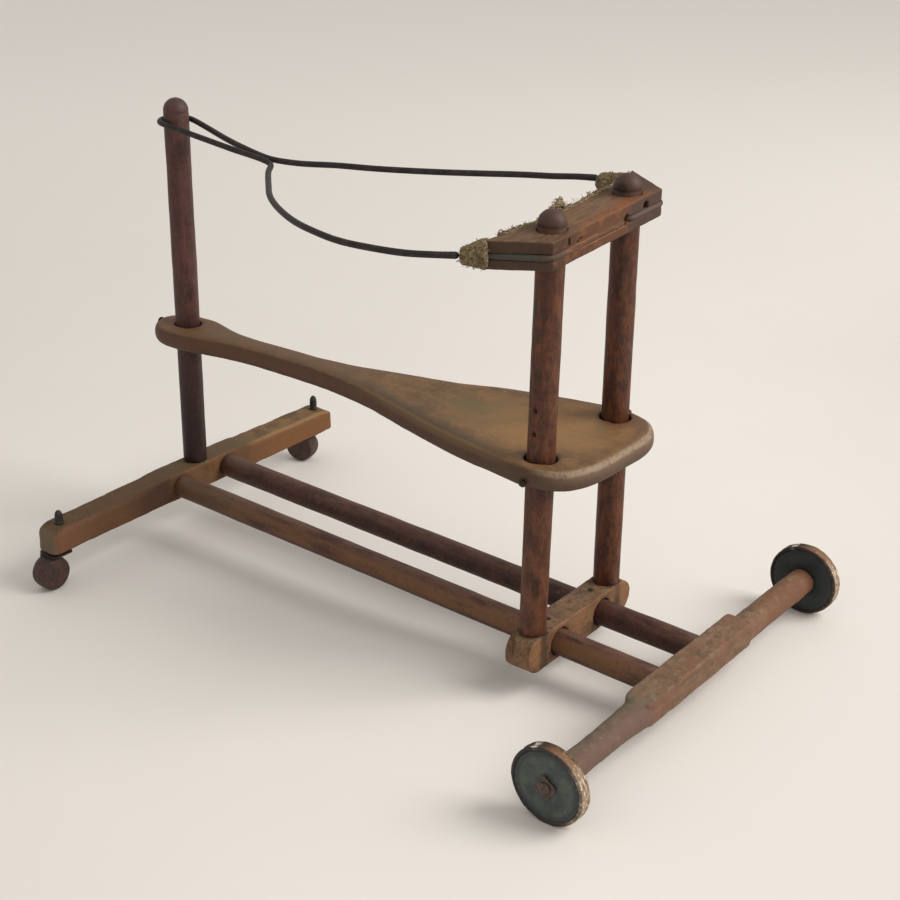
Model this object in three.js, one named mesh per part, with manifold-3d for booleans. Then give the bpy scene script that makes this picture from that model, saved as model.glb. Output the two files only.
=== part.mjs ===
// A wooden baby walker: a low dowel chassis on two rear wheels and two front casters, a front post,
// two rear uprights with a backrest board, a seat that slides on all three, and a wire guard hoop.
//
// Units are millimetres and +Z is up. The child faces -Y, so the child's left is +X. The origin lies
// on the floor under the middle of the walker. The chassis frame sits on the axle centre and is
// tipped up towards the front, because the casters carry the crossbar higher than the axle.
import * as THREE from 'three';
import { mergeVertices } from 'three/addons/utils/BufferGeometryUtils.js';
import Module from 'manifold-3d';

const wasm = await Module();
wasm.setup();

// ---- Driving dimensions ---------------------------------------------------------------------

const GAP = 0.3;                    // air between two pieces that touch
const OVER = 3;                     // how far a cutter runs past the face that it opens
const SIDES = [{ name: 'left', sign: 1 }, { name: 'right', sign: -1 }];
const ROUND = 20;                   // facets round a dowel

// Rear wheels and axle beam
const AXLE_Y = 341.5;               // axle centre behind the origin
const WHEEL_R = 38;
const WHEEL_T = 12;
const TYRE_T = 3.4;                 // thickness of the tread band on a wheel
const WHEEL_OUTER_X = 239.2;        // outer face of a rear wheel
const ARM_R = { left: 13, right: 14.2 };
const ARM_ROOT = 20;                // arms inside the beam's square middle
const BEAM = 28;                    // height of the square middle of the axle beam
const BEAM_DEPTH = 30;
const BEAM_BACK = 14;               // its rear face behind the arms' centre line
const BEAM_HALF = 97;               // half its length
const BEAM_RISE = 2;                // its centre above the arms' centre line
const BOLT_R = 3.5;                 // wheel bolt
const BOLT_CLEAR = 0.5;             // between a wheel and its bolt
const BOLT_BITE = 28;               // wheel bolt inside the arm
const BOLT_HEAD = { r: 6.5, h: 3.2 };
const WASHER = { size: 20, corner: 4, t: 1.6 };

// Posts
const DOWEL_R = 13.5;               // rails and uprights
const POST_R = 13.75;
const POST_TOP = 446.7;             // above the rails' centre line
const POST_TENON_R = 10;
const POST_TENON_L = 24;
const UPRIGHT_TENON_R = 8;
const UPRIGHT_TENON_L = 24;
const UPRIGHT_LEAN_IN = 4.5;        // how much closer the uprights stand at the top
const PEG_R = 2.5;                  // holes that the seat screws can be moved up to
const PEG_FIRST = 34;               // the lowest of them above the seat's screws
const PEG_PITCH = 23.5;
const PEG_ROWS = 2;
const PEG_DEPTH = 9;

// Casters
const CASTER_X = 205;
const CASTER_R = 19.4;
const CASTER_T = 21;
const CASTER_EDGE = 6;              // rounding of a caster wheel's edges
const CASTER_TRAIL = 17;
const CASTER_RUN = 0.6;             // between a caster wheel and the crown over it
const CASTER_YAW = { left: 0, right: THREE.MathUtils.degToRad(-75) };
const KINGPIN_R = 3;
const KINGPIN_HEAD = { r: 5, h: 1.8 };
const PLATE_R = 9.5;
const PLATE_T = 1.8;
const CROWN_T = 2.2;
const CROWN_CORNER = 5;
const HORN_FOOT = 12;               // leg's foot on the crown, in front of the wheel's pin
const LEG_T = 2;
const LEG_CLEAR = 0.8;              // between a caster wheel and its legs
const AXLE_PIN_R = 2;
const PIN_CLEAR = 0.4;              // between a pin and what turns on it
const PIN_HEAD = { r: 3.2, h: 1.2 };
const ACORN_R = 4.9;
const ACORN_H = { left: 15.5, right: 18 };
const KINGPIN_RISE = 9;             // kingpin above the crossbar

// Chassis
const RAIL_X = 37;
const FRONT_Y = -681.6;             // crossbar centre, in front of the axle
const BAR_OVERHANG = 21.5;          // crossbar beyond the casters
const BAR_RISE = 16.4;              // crossbar's middle above the rails' centre line, and its depth below
const BAR_END_RISE = 12;            // its top falls to this at the ends
const BAR_CREST = 62;               // half the length of its level middle
const BAR_SHOULDER = { x: 78, rise: 14.3 };
const BAR_MARGIN = 1.75;            // crossbar in front of the post and behind it
const BAR_CORNER = 10;
const BAR_EDGE = 4;
const BAR_END_WEAR = { x: 10, z: 6 };   // the worn upper corners of its ends
const TENON_R = 7.5;
const TENON_L = 20;
const BLOCK_Y = -141.6;             // stretcher block centre
const BLOCK_DEPTH = 29;
const BLOCK_END = 25.5;             // stretcher block beyond an upright
const BLOCK_WOOD = 6;               // between a rail and an upright's tenon
const BLOCK_RISE = 20.1;
const BLOCK_DROP = 19;
const BLOCK_EDGE = 2.5;
const NAIL = { r: 1.2, head: 2.5, bite: 8.5 };

// Backrest board, which hangs a little lower on the left
const BOARD_TOP = 428.9;
const BOARD_T = 26.8;
const BOARD_TILT = THREE.MathUtils.degToRad(3.24);
const BOARD_WALL = 7;               // wood behind an upright
const BOARD_DEPTH = 53.2;
const BOARD_END = 27.5;             // rear edge beyond an upright's centre
const BOARD_SPLAY = 31;             // how much further out the front corners lie
const BOARD_HOLLOW = 11.5;          // depth of the curve in its front edge
const BOARD_EDGE = 1.2;
const CAP_RISE = 18.3;              // uprights above the board
const GROOVE_DROP = 14.5;           // wire groove below the board's top
const GROOVE_INSET = 2.2;           // wire centre line inside the board's faces
const GROOVE_CLEAR = 0.35;
const HOOK_X = { left: -26, right: -35 };     // where the wire's two ends turn into the board's back
const HOOK_DEPTH = 9;               // turned-in ends inside the groove
const WIRE_BEND = 4.5;
const TAIL_STEPS = 60;
const WIRE_BULGE = 2;               // wire standing out at the board's rear corners
const FELT_T = 5.5;
const FELT_PROUD = 1.5;
const FELT_EDGE = 1.5;
const FELT_END = 18;                // strip short of the board's front corners
const FELT_ROLL = {                 // radius at the board and at the guard's end, and how it hangs
  left: { foot: 14.5, tip: 8.5, back: 5, lift: 1.5, fall: 2 },
  right: { foot: 11, tip: 9, back: 5, lift: 1, fall: 4 },
};
const ROLL_SIDES = 14;
const ROLL_EDGE = 2.5;              // rounding of a roll's ends

// Wire guard
const WIRE_R = 3;
const WIRE_CLEAR = 0.4;
const LOOP_CLEAR = 1.85;            // between the wire loop and the front post
const LOOP_Z = 421;
const WAIST_X = 8;                  // where the two strands run side by side
const PIVOT_REACH = { left: [12.9, -19.6, 0], right: [2, -38.6, 0] };   // in front of the board's corners

// Seat, level with the floor
const SEAT_TOP = 249;
const SEAT_T = 23;
const SEAT_EDGE = 7;                // rounding of its edges
const NOSE = 44;                    // seat in front of the post's centre
const NOSE_HALF = { left: 34, right: 30.5 };
const NOSE_BACK = 18;               // the nose keeps its width this far behind the post's centre
const TONGUE_HALF = { left: 20, right: 13.5 };
const SEAT_RIM = { left: 28.4, right: 23.4 };   // seat outside the uprights' centres
const SEAT_BACK = 56;               // seat behind the uprights' centres
const SEAT_POST_CLEAR = 0.7;
const SEAT_UPRIGHT_CLEAR = 2.1;
const SCREW_R = 2;
const SCREW_HEAD = { r: 4.5, h: 2.6 };
const SCREW_LEVEL = { left: 0, right: 4.5 };     // tips of the side screws above the seat's middle
const SCREW_LIFT = { left: -5, right: 1.5 };    // heads of the side screws above their tips
const SCREW_CLEAR = 0.4;            // between a screw's tip and the dowel it points at

// ---- Values worked out from them ------------------------------------------------------------

const CASTER_HEIGHT = 2 * CASTER_R + CASTER_RUN + CROWN_T + PLATE_T + 2 * GAP;
const CASTER_DROP = CASTER_HEIGHT - CASTER_R;
const SLOPE = Math.asin((CASTER_HEIGHT + BAR_RISE - WHEEL_R) / -FRONT_Y);
const CHASSIS = new THREE.Matrix4().makeRotationX(-SLOPE).setPosition(0, AXLE_Y, WHEEL_R);
const BOARD = new THREE.Matrix4().makeRotationY(BOARD_TILT).setPosition(0, 0, BOARD_TOP);
const BOARD_INVERSE = BOARD.clone().invert();
const UPRIGHT_X = RAIL_X + DOWEL_R + BLOCK_WOOD + UPRIGHT_TENON_R;
const UPRIGHT_X_HIGH = UPRIGHT_X - UPRIGHT_LEAN_IN;
const LEAN = Math.atan2(UPRIGHT_LEAN_IN, BOARD_TOP - BLOCK_RISE);
const BLOCK_HALF = UPRIGHT_X + BLOCK_END;
const ARM_END = WHEEL_OUTER_X - WHEEL_T - BOLT_CLEAR;
const BAR_DEPTH = 2 * (POST_R + BAR_MARGIN);
const BAR_HALF = CASTER_X + BAR_OVERHANG;
const BAR_REAR_FACE = FRONT_Y + BAR_DEPTH / 2;
const BEAM_FRONT_FACE = BEAM_BACK - BEAM_DEPTH;
const BOARD_REAR = { x: UPRIGHT_X_HIGH + BOARD_END, y: BLOCK_Y + DOWEL_R + GAP + BOARD_WALL };
const BOARD_FRONT = { x: BOARD_REAR.x + BOARD_SPLAY, y: BOARD_REAR.y - BOARD_DEPTH };
const LOOP_R = POST_R + WIRE_R + LOOP_CLEAR;
const SEAT_MIDDLE = SEAT_TOP - SEAT_T / 2;

// ---- Geometry helpers -----------------------------------------------------------------------

/** A point given in the chassis frame, in the frame of the whole walker. */
function fromChassis(x, y, z) {
  return new THREE.Vector3(x, y, z).applyMatrix4(CHASSIS);
}

/** Height in the chassis frame of the point on a line along Z that lies at a height over the floor. */
function chassisHeight(y, floorHeight) {
  return (floorHeight - fromChassis(0, y, 0).z) / Math.cos(SLOPE);
}

/** The closed solid inside a geometry. */
function solidOf(geometry) {
  const bare = geometry.clone();
  bare.deleteAttribute('normal');
  bare.deleteAttribute('uv');
  const welded = mergeVertices(bare, 1e-4);
  const corners = welded.index.array;
  const kept = [];
  for (let i = 0; i < corners.length; i += 3) {
    const [a, b, c] = [corners[i], corners[i + 1], corners[i + 2]];
    if (a !== b && b !== c && c !== a) kept.push(a, b, c);
  }
  const vertProperties = new Float32Array(welded.attributes.position.array);
  return new wasm.Manifold(new wasm.Mesh({ numProp: 3, vertProperties, triVerts: new Uint32Array(kept) }));
}

/** The geometry of a closed solid. */
function geometryOf(solid) {
  const mesh = solid.getMesh();
  const geometry = new THREE.BufferGeometry();
  geometry.setAttribute('position', new THREE.BufferAttribute(new Float32Array(mesh.vertProperties), 3));
  geometry.setIndex(new THREE.BufferAttribute(new Uint32Array(mesh.triVerts), 1));
  geometry.computeVertexNormals();
  return geometry;
}

function joined(...geometries) {
  return geometryOf(geometries.map(solidOf).reduce((sum, next) => sum.add(next)));
}

function cut(geometry, cutters) {
  return geometryOf(cutters.map(solidOf).reduce((rest, cutter) => rest.subtract(cutter), solidOf(geometry)));
}

function shared(geometry, other) {
  return geometryOf(solidOf(geometry).intersect(solidOf(other)));
}

/** A piece turned about Z from a profile of [radius, height] pairs, listed up its outer side. */
function turned(profile, sides = ROUND) {
  const outline = profile.map(([radius, height]) => new THREE.Vector2(radius, height));
  return new THREE.LatheGeometry(outline, sides).rotateX(Math.PI / 2);
}

/** A ring turned about Z with chamfered outer edges. */
function ring(inner, outer, bottom, top, chamfer = 0, sides = ROUND) {
  const outside = chamfer > 0
    ? [[outer - chamfer, bottom], [outer, bottom + chamfer], [outer, top - chamfer], [outer - chamfer, top]]
    : [[outer, bottom], [outer, top]];
  return turned([[inner, bottom], ...outside, [inner, top], [inner, bottom]], sides);
}

/** A straight round rod between two points. */
function rod(radius, from, to, sides = 12) {
  const start = new THREE.Vector3(...from);
  const way = new THREE.Vector3(...to).sub(start);
  const geometry = new THREE.CylinderGeometry(radius, radius, way.length(), sides);
  geometry.translate(0, way.length() / 2, 0);
  const turn = new THREE.Quaternion().setFromUnitVectors(new THREE.Vector3(0, 1, 0), way.normalize());
  return geometry.applyQuaternion(turn).translate(start.x, start.y, start.z);
}

/** A cutter for a round hole whose flats lie at the radius given. */
function bore(radius, from, to, sides = 12) {
  return rod(radius / Math.cos(Math.PI / sides), from, to, sides);
}

/** A round wire along a curve. */
function wire(path, radius, steps, sides = 8) {
  const corner = (i) => 2 * Math.PI * i / sides;
  const at = (i) => new THREE.Vector2(radius * Math.cos(corner(i)), radius * Math.sin(corner(i)));
  const section = new THREE.Shape(Array.from({ length: sides }, (_, i) => at(i)));
  return new THREE.ExtrudeGeometry(section, { extrudePath: path, steps, bevelEnabled: false });
}

/** A path of straight stretches joined by bends. */
function bentPath(points, bend) {
  const path = new THREE.CurvePath();
  let from = points[0];
  for (let i = 1; i < points.length - 1; i += 1) {
    const before = points[i].clone().sub(points[i - 1]).normalize();
    const after = points[i + 1].clone().sub(points[i]).normalize();
    const entry = points[i].clone().addScaledVector(before, -bend);
    const exit = points[i].clone().addScaledVector(after, bend);
    path.add(new THREE.LineCurve3(from, entry));
    path.add(new THREE.QuadraticBezierCurve3(entry, points[i], exit));
    from = exit;
  }
  path.add(new THREE.LineCurve3(from, points.at(-1)));
  return path;
}

/** A flat outline made thick along Z and centred on it, with rounded edges. */
function slab(outline, thickness, edge = 0, curveSegments = 6) {
  const settings = {
    depth: thickness - 2 * edge,
    bevelEnabled: edge > 0,
    bevelThickness: edge,
    bevelSize: edge,
    bevelOffset: -edge,
    bevelSegments: 2,
    curveSegments,
  };
  return new THREE.ExtrudeGeometry(outline, settings).translate(0, 0, edge - thickness / 2);
}

/** A rectangle with round corners, centred on the origin. */
function roundedRectangle(width, height, radius) {
  const [x, y] = [width / 2 - radius, height / 2 - radius];
  const outline = new THREE.Shape();
  outline.absarc(x, y, radius, 0, Math.PI / 2);
  outline.absarc(-x, y, radius, Math.PI / 2, Math.PI);
  outline.absarc(-x, -y, radius, Math.PI, 1.5 * Math.PI);
  outline.absarc(x, -y, radius, 1.5 * Math.PI, 2 * Math.PI);
  return outline;
}

/** A bar with half-round ends, centred on the origin. */
function stadium(length, height) {
  const radius = height / 2;
  const x = length / 2 - radius;
  const outline = new THREE.Shape();
  outline.absarc(x, 0, radius, -Math.PI / 2, Math.PI / 2);
  outline.absarc(-x, 0, radius, Math.PI / 2, 1.5 * Math.PI);
  return outline;
}

// ---- Materials and placing ------------------------------------------------------------------

const FINISHES = {
  dark_wood: { color: 0x55392f, roughness: 0.5, metalness: 0 },
  worn_wood: { color: 0x8a7055, roughness: 0.7, metalness: 0 },
  seat_wood: { color: 0x94805f, roughness: 0.65, metalness: 0 },
  wheel_paint: { color: 0x454b45, roughness: 0.55, metalness: 0 },
  tread: { color: 0x8a5a3a, roughness: 0.75, metalness: 0 },
  caster_wood: { color: 0x4a3d38, roughness: 0.55, metalness: 0 },
  dark_iron: { color: 0x322d2d, roughness: 0.45, metalness: 0.7 },
  screw_steel: { color: 0x6d6a64, roughness: 0.4, metalness: 0.8 },
  felt: { color: 0x8a7f60, roughness: 0.95, metalness: 0 },
};

function part(parent, name, geometry, finish) {
  const mesh = new THREE.Mesh(geometry, new THREE.MeshStandardMaterial(FINISHES[finish]));
  mesh.name = name;
  parent.add(mesh);
  return mesh;
}

// ---- Front crossbar, rails and stretcher block ----------------------------------------------

function crossbarGeometry() {
  const side = new THREE.Shape();
  side.moveTo(-BAR_HALF, -BAR_RISE);
  side.lineTo(BAR_HALF, -BAR_RISE);
  side.lineTo(BAR_HALF, BAR_END_RISE - BAR_END_WEAR.z);
  side.lineTo(BAR_HALF - BAR_END_WEAR.x, BAR_END_RISE);
  side.lineTo(BAR_SHOULDER.x, BAR_SHOULDER.rise);
  side.lineTo(BAR_CREST, BAR_RISE);
  side.lineTo(-BAR_CREST, BAR_RISE);
  side.lineTo(-BAR_SHOULDER.x, BAR_SHOULDER.rise);
  side.lineTo(BAR_END_WEAR.x - BAR_HALF, BAR_END_RISE);
  side.lineTo(-BAR_HALF, BAR_END_RISE - BAR_END_WEAR.z);
  side.closePath();
  const eased = slab(side, BAR_DEPTH, BAR_EDGE).rotateX(Math.PI / 2).translate(0, FRONT_Y, 0);
  const plan = slab(roundedRectangle(2 * BAR_HALF, BAR_DEPTH, BAR_CORNER), 4 * BAR_RISE);
  const bar = shared(eased, plan.translate(0, FRONT_Y, 0));
  const postSocket = [BAR_RISE - POST_TENON_L - 1, BAR_RISE + OVER];
  const cutters = [bore(POST_TENON_R + GAP, [0, FRONT_Y, postSocket[0]], [0, FRONT_Y, postSocket[1]], ROUND)];
  for (const { sign } of SIDES) {
    const railEnd = BAR_REAR_FACE - TENON_L - 1;
    const [rail, caster] = [sign * RAIL_X, sign * CASTER_X];
    cutters.push(bore(TENON_R + GAP, [rail, railEnd, 0], [rail, BAR_REAR_FACE + OVER, 0], 16));
    const reach = BAR_RISE + OVER;
    cutters.push(bore(KINGPIN_R + GAP, [caster, FRONT_Y, -reach], [caster, FRONT_Y, reach]));
  }
  return cut(bar, cutters);
}

/** Hole for the nail that holds a rail in the stretcher block. */
function nailHole(sign) {
  const [x, tip] = [sign * RAIL_X, DOWEL_R - NAIL.bite - 1];
  return bore(NAIL.r + GAP, [x, BLOCK_Y, tip], [x, BLOCK_Y, BLOCK_RISE + OVER], 8);
}

function railGeometry(sign) {
  const from = BAR_REAR_FACE + GAP;
  const to = BEAM_FRONT_FACE - GAP;
  const profile = [
    [0, from - TENON_L], [TENON_R, from - TENON_L], [TENON_R, from], [DOWEL_R, from],
    [DOWEL_R, to], [TENON_R, to], [TENON_R, to + TENON_L], [0, to + TENON_L],
  ];
  const rail = turned(profile).rotateX(-Math.PI / 2).translate(sign * RAIL_X, 0, 0);
  return cut(rail, [nailHole(sign)]);
}

function blockGeometry() {
  const height = BLOCK_RISE + BLOCK_DROP;
  const block = slab(stadium(2 * BLOCK_HALF, height), BLOCK_DEPTH, BLOCK_EDGE, 8).rotateX(Math.PI / 2);
  block.translate(0, BLOCK_Y, (BLOCK_RISE - BLOCK_DROP) / 2);
  const half = BLOCK_DEPTH / 2 + OVER;
  const cutters = [];
  for (const { sign } of SIDES) {
    const rail = sign * RAIL_X;
    cutters.push(bore(DOWEL_R + GAP, [rail, BLOCK_Y - half, 0], [rail, BLOCK_Y + half, 0], ROUND));
    cutters.push(nailHole(sign));
    cutters.push(uprightSocket(sign));
  }
  return cut(block, cutters);
}

function nailGeometry() {
  const length = BLOCK_RISE - DOWEL_R + NAIL.bite;
  return turned([[0, -length], [NAIL.r, -length + 2], [NAIL.r, GAP], [NAIL.head, GAP], [NAIL.head, 1],
    [NAIL.head / 2, 1.6], [0, 1.7]], 10);
}

// ---- Front post and rear uprights -----------------------------------------------------------

/** Profile of a dowel that stands on a tenon and ends in a half-round top. */
function postProfile(radius, tenonRadius, tenonLength, bottom, top) {
  const steps = 5;
  const dome = Array.from({ length: steps + 1 }, (_, i) => {
    const angle = Math.PI / 2 * i / steps;
    return [i < steps ? radius * Math.cos(angle) : 0, top - radius + radius * Math.sin(angle)];
  });
  return [[0, bottom - tenonLength], [tenonRadius, bottom - tenonLength], [tenonRadius, bottom],
    [radius, bottom], ...dome];
}

function frontPostGeometry() {
  const bottom = BAR_RISE + GAP;
  const profile = postProfile(POST_R, POST_TENON_R, POST_TENON_L, bottom, POST_TOP);
  const post = turned(profile).translate(0, FRONT_Y, 0);
  const screw = chassisHeight(FRONT_Y, SEAT_MIDDLE);
  const cutters = pegRows(screw).map((z) => {
    return bore(PEG_R, [0, FRONT_Y - POST_R - OVER, z], [0, FRONT_Y - POST_R + PEG_DEPTH, z]);
  });
  return cut(post, cutters);
}

/** Heights of the spare holes over a screw. */
function pegRows(screw) {
  return Array.from({ length: PEG_ROWS }, (_, row) => screw + PEG_FIRST + row * PEG_PITCH);
}

/** Places an upright that was turned about Z, with its foot on the block, in the chassis frame. */
function uprightMatrix(sign) {
  const lean = new THREE.Matrix4().makeRotationY(-sign * LEAN);
  return lean.setPosition(sign * UPRIGHT_X, BLOCK_Y, BLOCK_RISE);
}

/** Centre of an upright at a height above the rails' centre line. */
function uprightX(sign, z) {
  return sign * (UPRIGHT_X - (z - BLOCK_RISE) * Math.tan(LEAN));
}

function uprightSocket(sign) {
  const socket = bore(UPRIGHT_TENON_R + GAP, [0, 0, -UPRIGHT_TENON_L - 1], [0, 0, OVER], 16);
  return socket.applyMatrix4(uprightMatrix(sign));
}

/** Top of an upright along its own length, which follows the slant of the board. */
function uprightLength(sign) {
  const boardHere = BOARD_TOP - sign * UPRIGHT_X_HIGH * Math.tan(BOARD_TILT);
  return boardHere + CAP_RISE - BLOCK_RISE;
}

function uprightGeometry(side) {
  const { name, sign } = side;
  const profile = postProfile(DOWEL_R, UPRIGHT_TENON_R, UPRIGHT_TENON_L, GAP, uprightLength(sign));
  const upright = turned(profile).applyMatrix4(uprightMatrix(sign));
  const screw = chassisHeight(BLOCK_Y, SEAT_MIDDLE + SCREW_LEVEL[name]);
  const cutters = pegRows(screw).map((z) => {
    const face = uprightX(sign, z) + sign * DOWEL_R;
    return bore(PEG_R, [face + sign * OVER, BLOCK_Y, z], [face - sign * PEG_DEPTH, BLOCK_Y, z]);
  });
  return cut(upright, cutters);
}

// ---- Backrest board, its felt and the wire tails, in the board's own frame -------------------

/** Unit vector along a slanted end of the board, from its rear corner to its front corner. */
function endDirection(sign) {
  const way = new THREE.Vector2(BOARD_FRONT.x - BOARD_REAR.x, BOARD_FRONT.y - BOARD_REAR.y).normalize();
  return new THREE.Vector3(sign * way.x, way.y, 0);
}

/** A point of the wire's way along a slanted end, at a distance from the rear corner. */
function endPoint(sign, along, offset) {
  const way = endDirection(sign);
  const outward = new THREE.Vector3(sign * Math.abs(way.y), Math.abs(way.x), 0);
  const corner = new THREE.Vector3(sign * BOARD_REAR.x, BOARD_REAR.y, -GROOVE_DROP);
  return corner.addScaledVector(way, along).addScaledVector(outward, offset - GROOVE_INSET);
}

/** The wire's way from its end in the board's back, along the back and the slanted end of the board. */
function tailPoints({ name, sign }, offset = 0) {
  const rear = BOARD_REAR.y - GROOVE_INSET + offset;
  const corner = sign * (BOARD_REAR.x - GROOVE_INSET / 2 + WIRE_BULGE);
  return [
    new THREE.Vector3(HOOK_X[name], rear - HOOK_DEPTH, -GROOVE_DROP),
    new THREE.Vector3(HOOK_X[name], rear, -GROOVE_DROP),
    new THREE.Vector3(corner, rear + WIRE_BULGE / 2, -GROOVE_DROP),
    endPoint(sign, Math.hypot(BOARD_SPLAY, BOARD_DEPTH), offset),
  ];
}

/** The place where the guard hinges in its felt roll, in the board's frame. */
function pivotOnBoard(side) {
  const [out, forward, up] = PIVOT_REACH[side.name];
  return tailPoints(side)[3].add(new THREE.Vector3(out, forward, up));
}

/** The same place in the chassis frame. */
function pivotOnChassis(side) {
  return pivotOnBoard(side).applyMatrix4(BOARD);
}

function hookHole(name) {
  const [x, deep] = [HOOK_X[name], BOARD_REAR.y - GROOVE_INSET - HOOK_DEPTH - 1];
  return bore(WIRE_R + WIRE_CLEAR, [x, deep, -GROOVE_DROP], [x, BOARD_REAR.y + OVER, -GROOVE_DROP]);
}

/** The board's outline, which may be grown at its ends and its front. */
function boardOutline(growth = 0) {
  const outline = new THREE.Shape();
  const [rear, front] = [BOARD_REAR.x + 2 * growth, BOARD_FRONT.x + 2 * growth];
  const frontY = BOARD_FRONT.y - growth;
  outline.moveTo(-rear, BOARD_REAR.y);
  outline.lineTo(-front, frontY);
  outline.quadraticCurveTo(0, frontY + 2 * BOARD_HOLLOW, front, frontY);
  outline.lineTo(rear, BOARD_REAR.y);
  outline.closePath();
  return outline;
}

function boardGeometry() {
  const board = slab(boardOutline(), BOARD_T, BOARD_EDGE, 10).translate(0, 0, -BOARD_T / 2);
  const cutters = [];
  for (const side of SIDES) {
    const { name, sign } = side;
    const height = BOARD_TOP - BLOCK_RISE;
    const hole = bore(DOWEL_R + GAP, [0, 0, height - 2 * BOARD_T], [0, 0, height + BOARD_T], ROUND);
    cutters.push(hole.applyMatrix4(uprightMatrix(sign)).applyMatrix4(BOARD_INVERSE));
    cutters.push(hookHole(name));
    cutters.push(wire(tailPath(side), WIRE_R + GROOVE_CLEAR, TAIL_STEPS));
    const mouth = tailPoints(side, GROOVE_INSET + GROOVE_CLEAR).slice(1);
    mouth[2].addScaledVector(endDirection(sign), 2 * OVER);
    cutters.push(wire(bentPath(mouth, WIRE_BEND), WIRE_R + GROOVE_CLEAR, TAIL_STEPS));
  }
  return cut(board, cutters);
}

/** A tail's centre line, from its end in the board's back to just short of the guard's hinge. */
function tailPath(side) {
  const points = tailPoints(side);
  const pivot = pivotOnBoard(side);
  const back = points[3].clone().sub(pivot).normalize();
  return bentPath([...points, pivot.addScaledVector(back, WIRE_R + WIRE_CLEAR)], WIRE_BEND);
}

/** A curved strip on the hollow front face, standing a little above the board. */
function feltStripGeometry() {
  const outline = new THREE.Shape();
  const half = BOARD_FRONT.x - FELT_END;
  const lift = 2 * BOARD_HOLLOW * (half / BOARD_FRONT.x);
  const back = BOARD_FRONT.y + BOARD_HOLLOW * (1 - (half / BOARD_FRONT.x) ** 2) - GAP;
  outline.moveTo(-half, back);
  outline.quadraticCurveTo(0, back + lift * (half / BOARD_FRONT.x), half, back);
  outline.lineTo(half, back - FELT_T);
  outline.quadraticCurveTo(0, back - FELT_T + lift * (half / BOARD_FRONT.x), -half, back - FELT_T);
  outline.closePath();
  const height = BOARD_T + FELT_PROUD;
  return slab(outline, height, FELT_EDGE, 10).translate(0, 0, FELT_PROUD - height / 2);
}

/** Felt rolled round the wire, from against a front corner of the board to the guard's end. */
function feltRollGeometry(side) {
  const [corner, pivot] = [tailPoints(side)[3], pivotOnBoard(side)];
  const way = pivot.clone().sub(corner);
  const length = way.length() - WIRE_R - WIRE_CLEAR - GAP;
  const { foot, tip, back, lift, fall } = FELT_ROLL[side.name];
  const roll = turned([[0, -back], [foot - ROLL_EDGE, -back], [foot, ROLL_EDGE - back],
    [tip, length - ROLL_EDGE], [tip - ROLL_EDGE, length], [0, length]], ROLL_SIDES);
  const turn = new THREE.Quaternion().setFromUnitVectors(new THREE.Vector3(0, 0, 1), way.normalize());
  const skew = new THREE.Matrix4().makeShear(0, 0, 0, fall / (length * -way.y), 0, 0);
  roll.applyQuaternion(turn).applyMatrix4(skew).translate(corner.x, corner.y, corner.z + lift);
  const height = BOARD_T + 2 * FELT_PROUD;
  const board = slab(boardOutline(GAP), 2 * height, 0, 10).translate(0, 0, -BOARD_T / 2);
  return cut(roll, [board, wire(tailPath(side), WIRE_R + WIRE_CLEAR, TAIL_STEPS)]);
}

// ---- Wire guard -----------------------------------------------------------------------------

// Each strand between its pivot and the post: [share of the way to the post, sideways, sag], with
// the sag measured from the straight line between the pivot's height and the loop's.
const LEFT_STRAND = [
  [0.031, 141, 0], [0.08, 151, -1.8], [0.15, 160, -2.7], [0.22, 161, -4.6], [0.292, 155, -5.6],
  [0.364, 143, -7.5], [0.442, 124, -8.5], [0.52, 97, -10.6], [0.584, 67, -12.5], [0.656, 31, -13.4],
];
const RIGHT_STRAND = [
  [0.91, -10.5, -4.5], [0.868, -5.5, -6.5], [0.808, 0, -9.5],
];
const RIGHT_STRAND_BEHIND = [
  [0.629, -7, -16.8], [0.547, -21, -14.7], [0.453, -33, -12.7], [0.372, -46, -10.7], [0.291, -61, -8.6],
  [0.216, -77, -6.6], [0.148, -91, -4.6], [0.081, -101, -2.5], [0.038, -108, -0.5],
];
// Where the strands run side by side: [share of the way, sag of the left one, sag of the right one].
const WAIST = [[0.688, -13, -15], [0.72, -10.7, -13.7]];
const LEFT_RISE = [[0.79, 2.7, -8.5], [0.86, 0, -5.2]];   // [share, inside the last place, sag]
const LOOP_TURN = 2.5;              // the left strand's last place inside the loop's radius

/** A point of a strand in the chassis frame. */
function strandPoint(side, [share, x, sag]) {
  const pivot = pivotOnChassis(side);
  const y = THREE.MathUtils.lerp(pivot.y, FRONT_Y, share);
  return new THREE.Vector3(x, y, THREE.MathUtils.lerp(pivot.z, LOOP_Z, share) + sag);
}

/** The guard's centre line, from its left end round the front post to its right end. */
function guardPath() {
  const [left, right] = SIDES;
  const half = WIRE_R + WIRE_CLEAR;
  const turns = 8;
  const loop = Array.from({ length: turns + 1 }, (_, i) => {
    const angle = -Math.PI * i / turns;
    return new THREE.Vector3(LOOP_R * Math.cos(angle), FRONT_Y + LOOP_R * Math.sin(angle), LOOP_Z);
  });
  return new THREE.CatmullRomCurve3([
    pivotOnChassis(left),
    ...LEFT_STRAND.map((place) => strandPoint(left, place)),
    ...WAIST.map(([share, sag]) => strandPoint(left, [share, WAIST_X + half, sag])),
    ...LEFT_RISE.map(([share, inside, sag]) => strandPoint(left, [share, LOOP_R - LOOP_TURN - inside, sag])),
    ...loop,
    ...RIGHT_STRAND.map((place) => strandPoint(right, place)),
    ...WAIST.toReversed().map(([share, , sag]) => strandPoint(right, [share, WAIST_X - half, sag])),
    ...RIGHT_STRAND_BEHIND.map((place) => strandPoint(right, place)),
    pivotOnChassis(right),
  ]);
}

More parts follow.
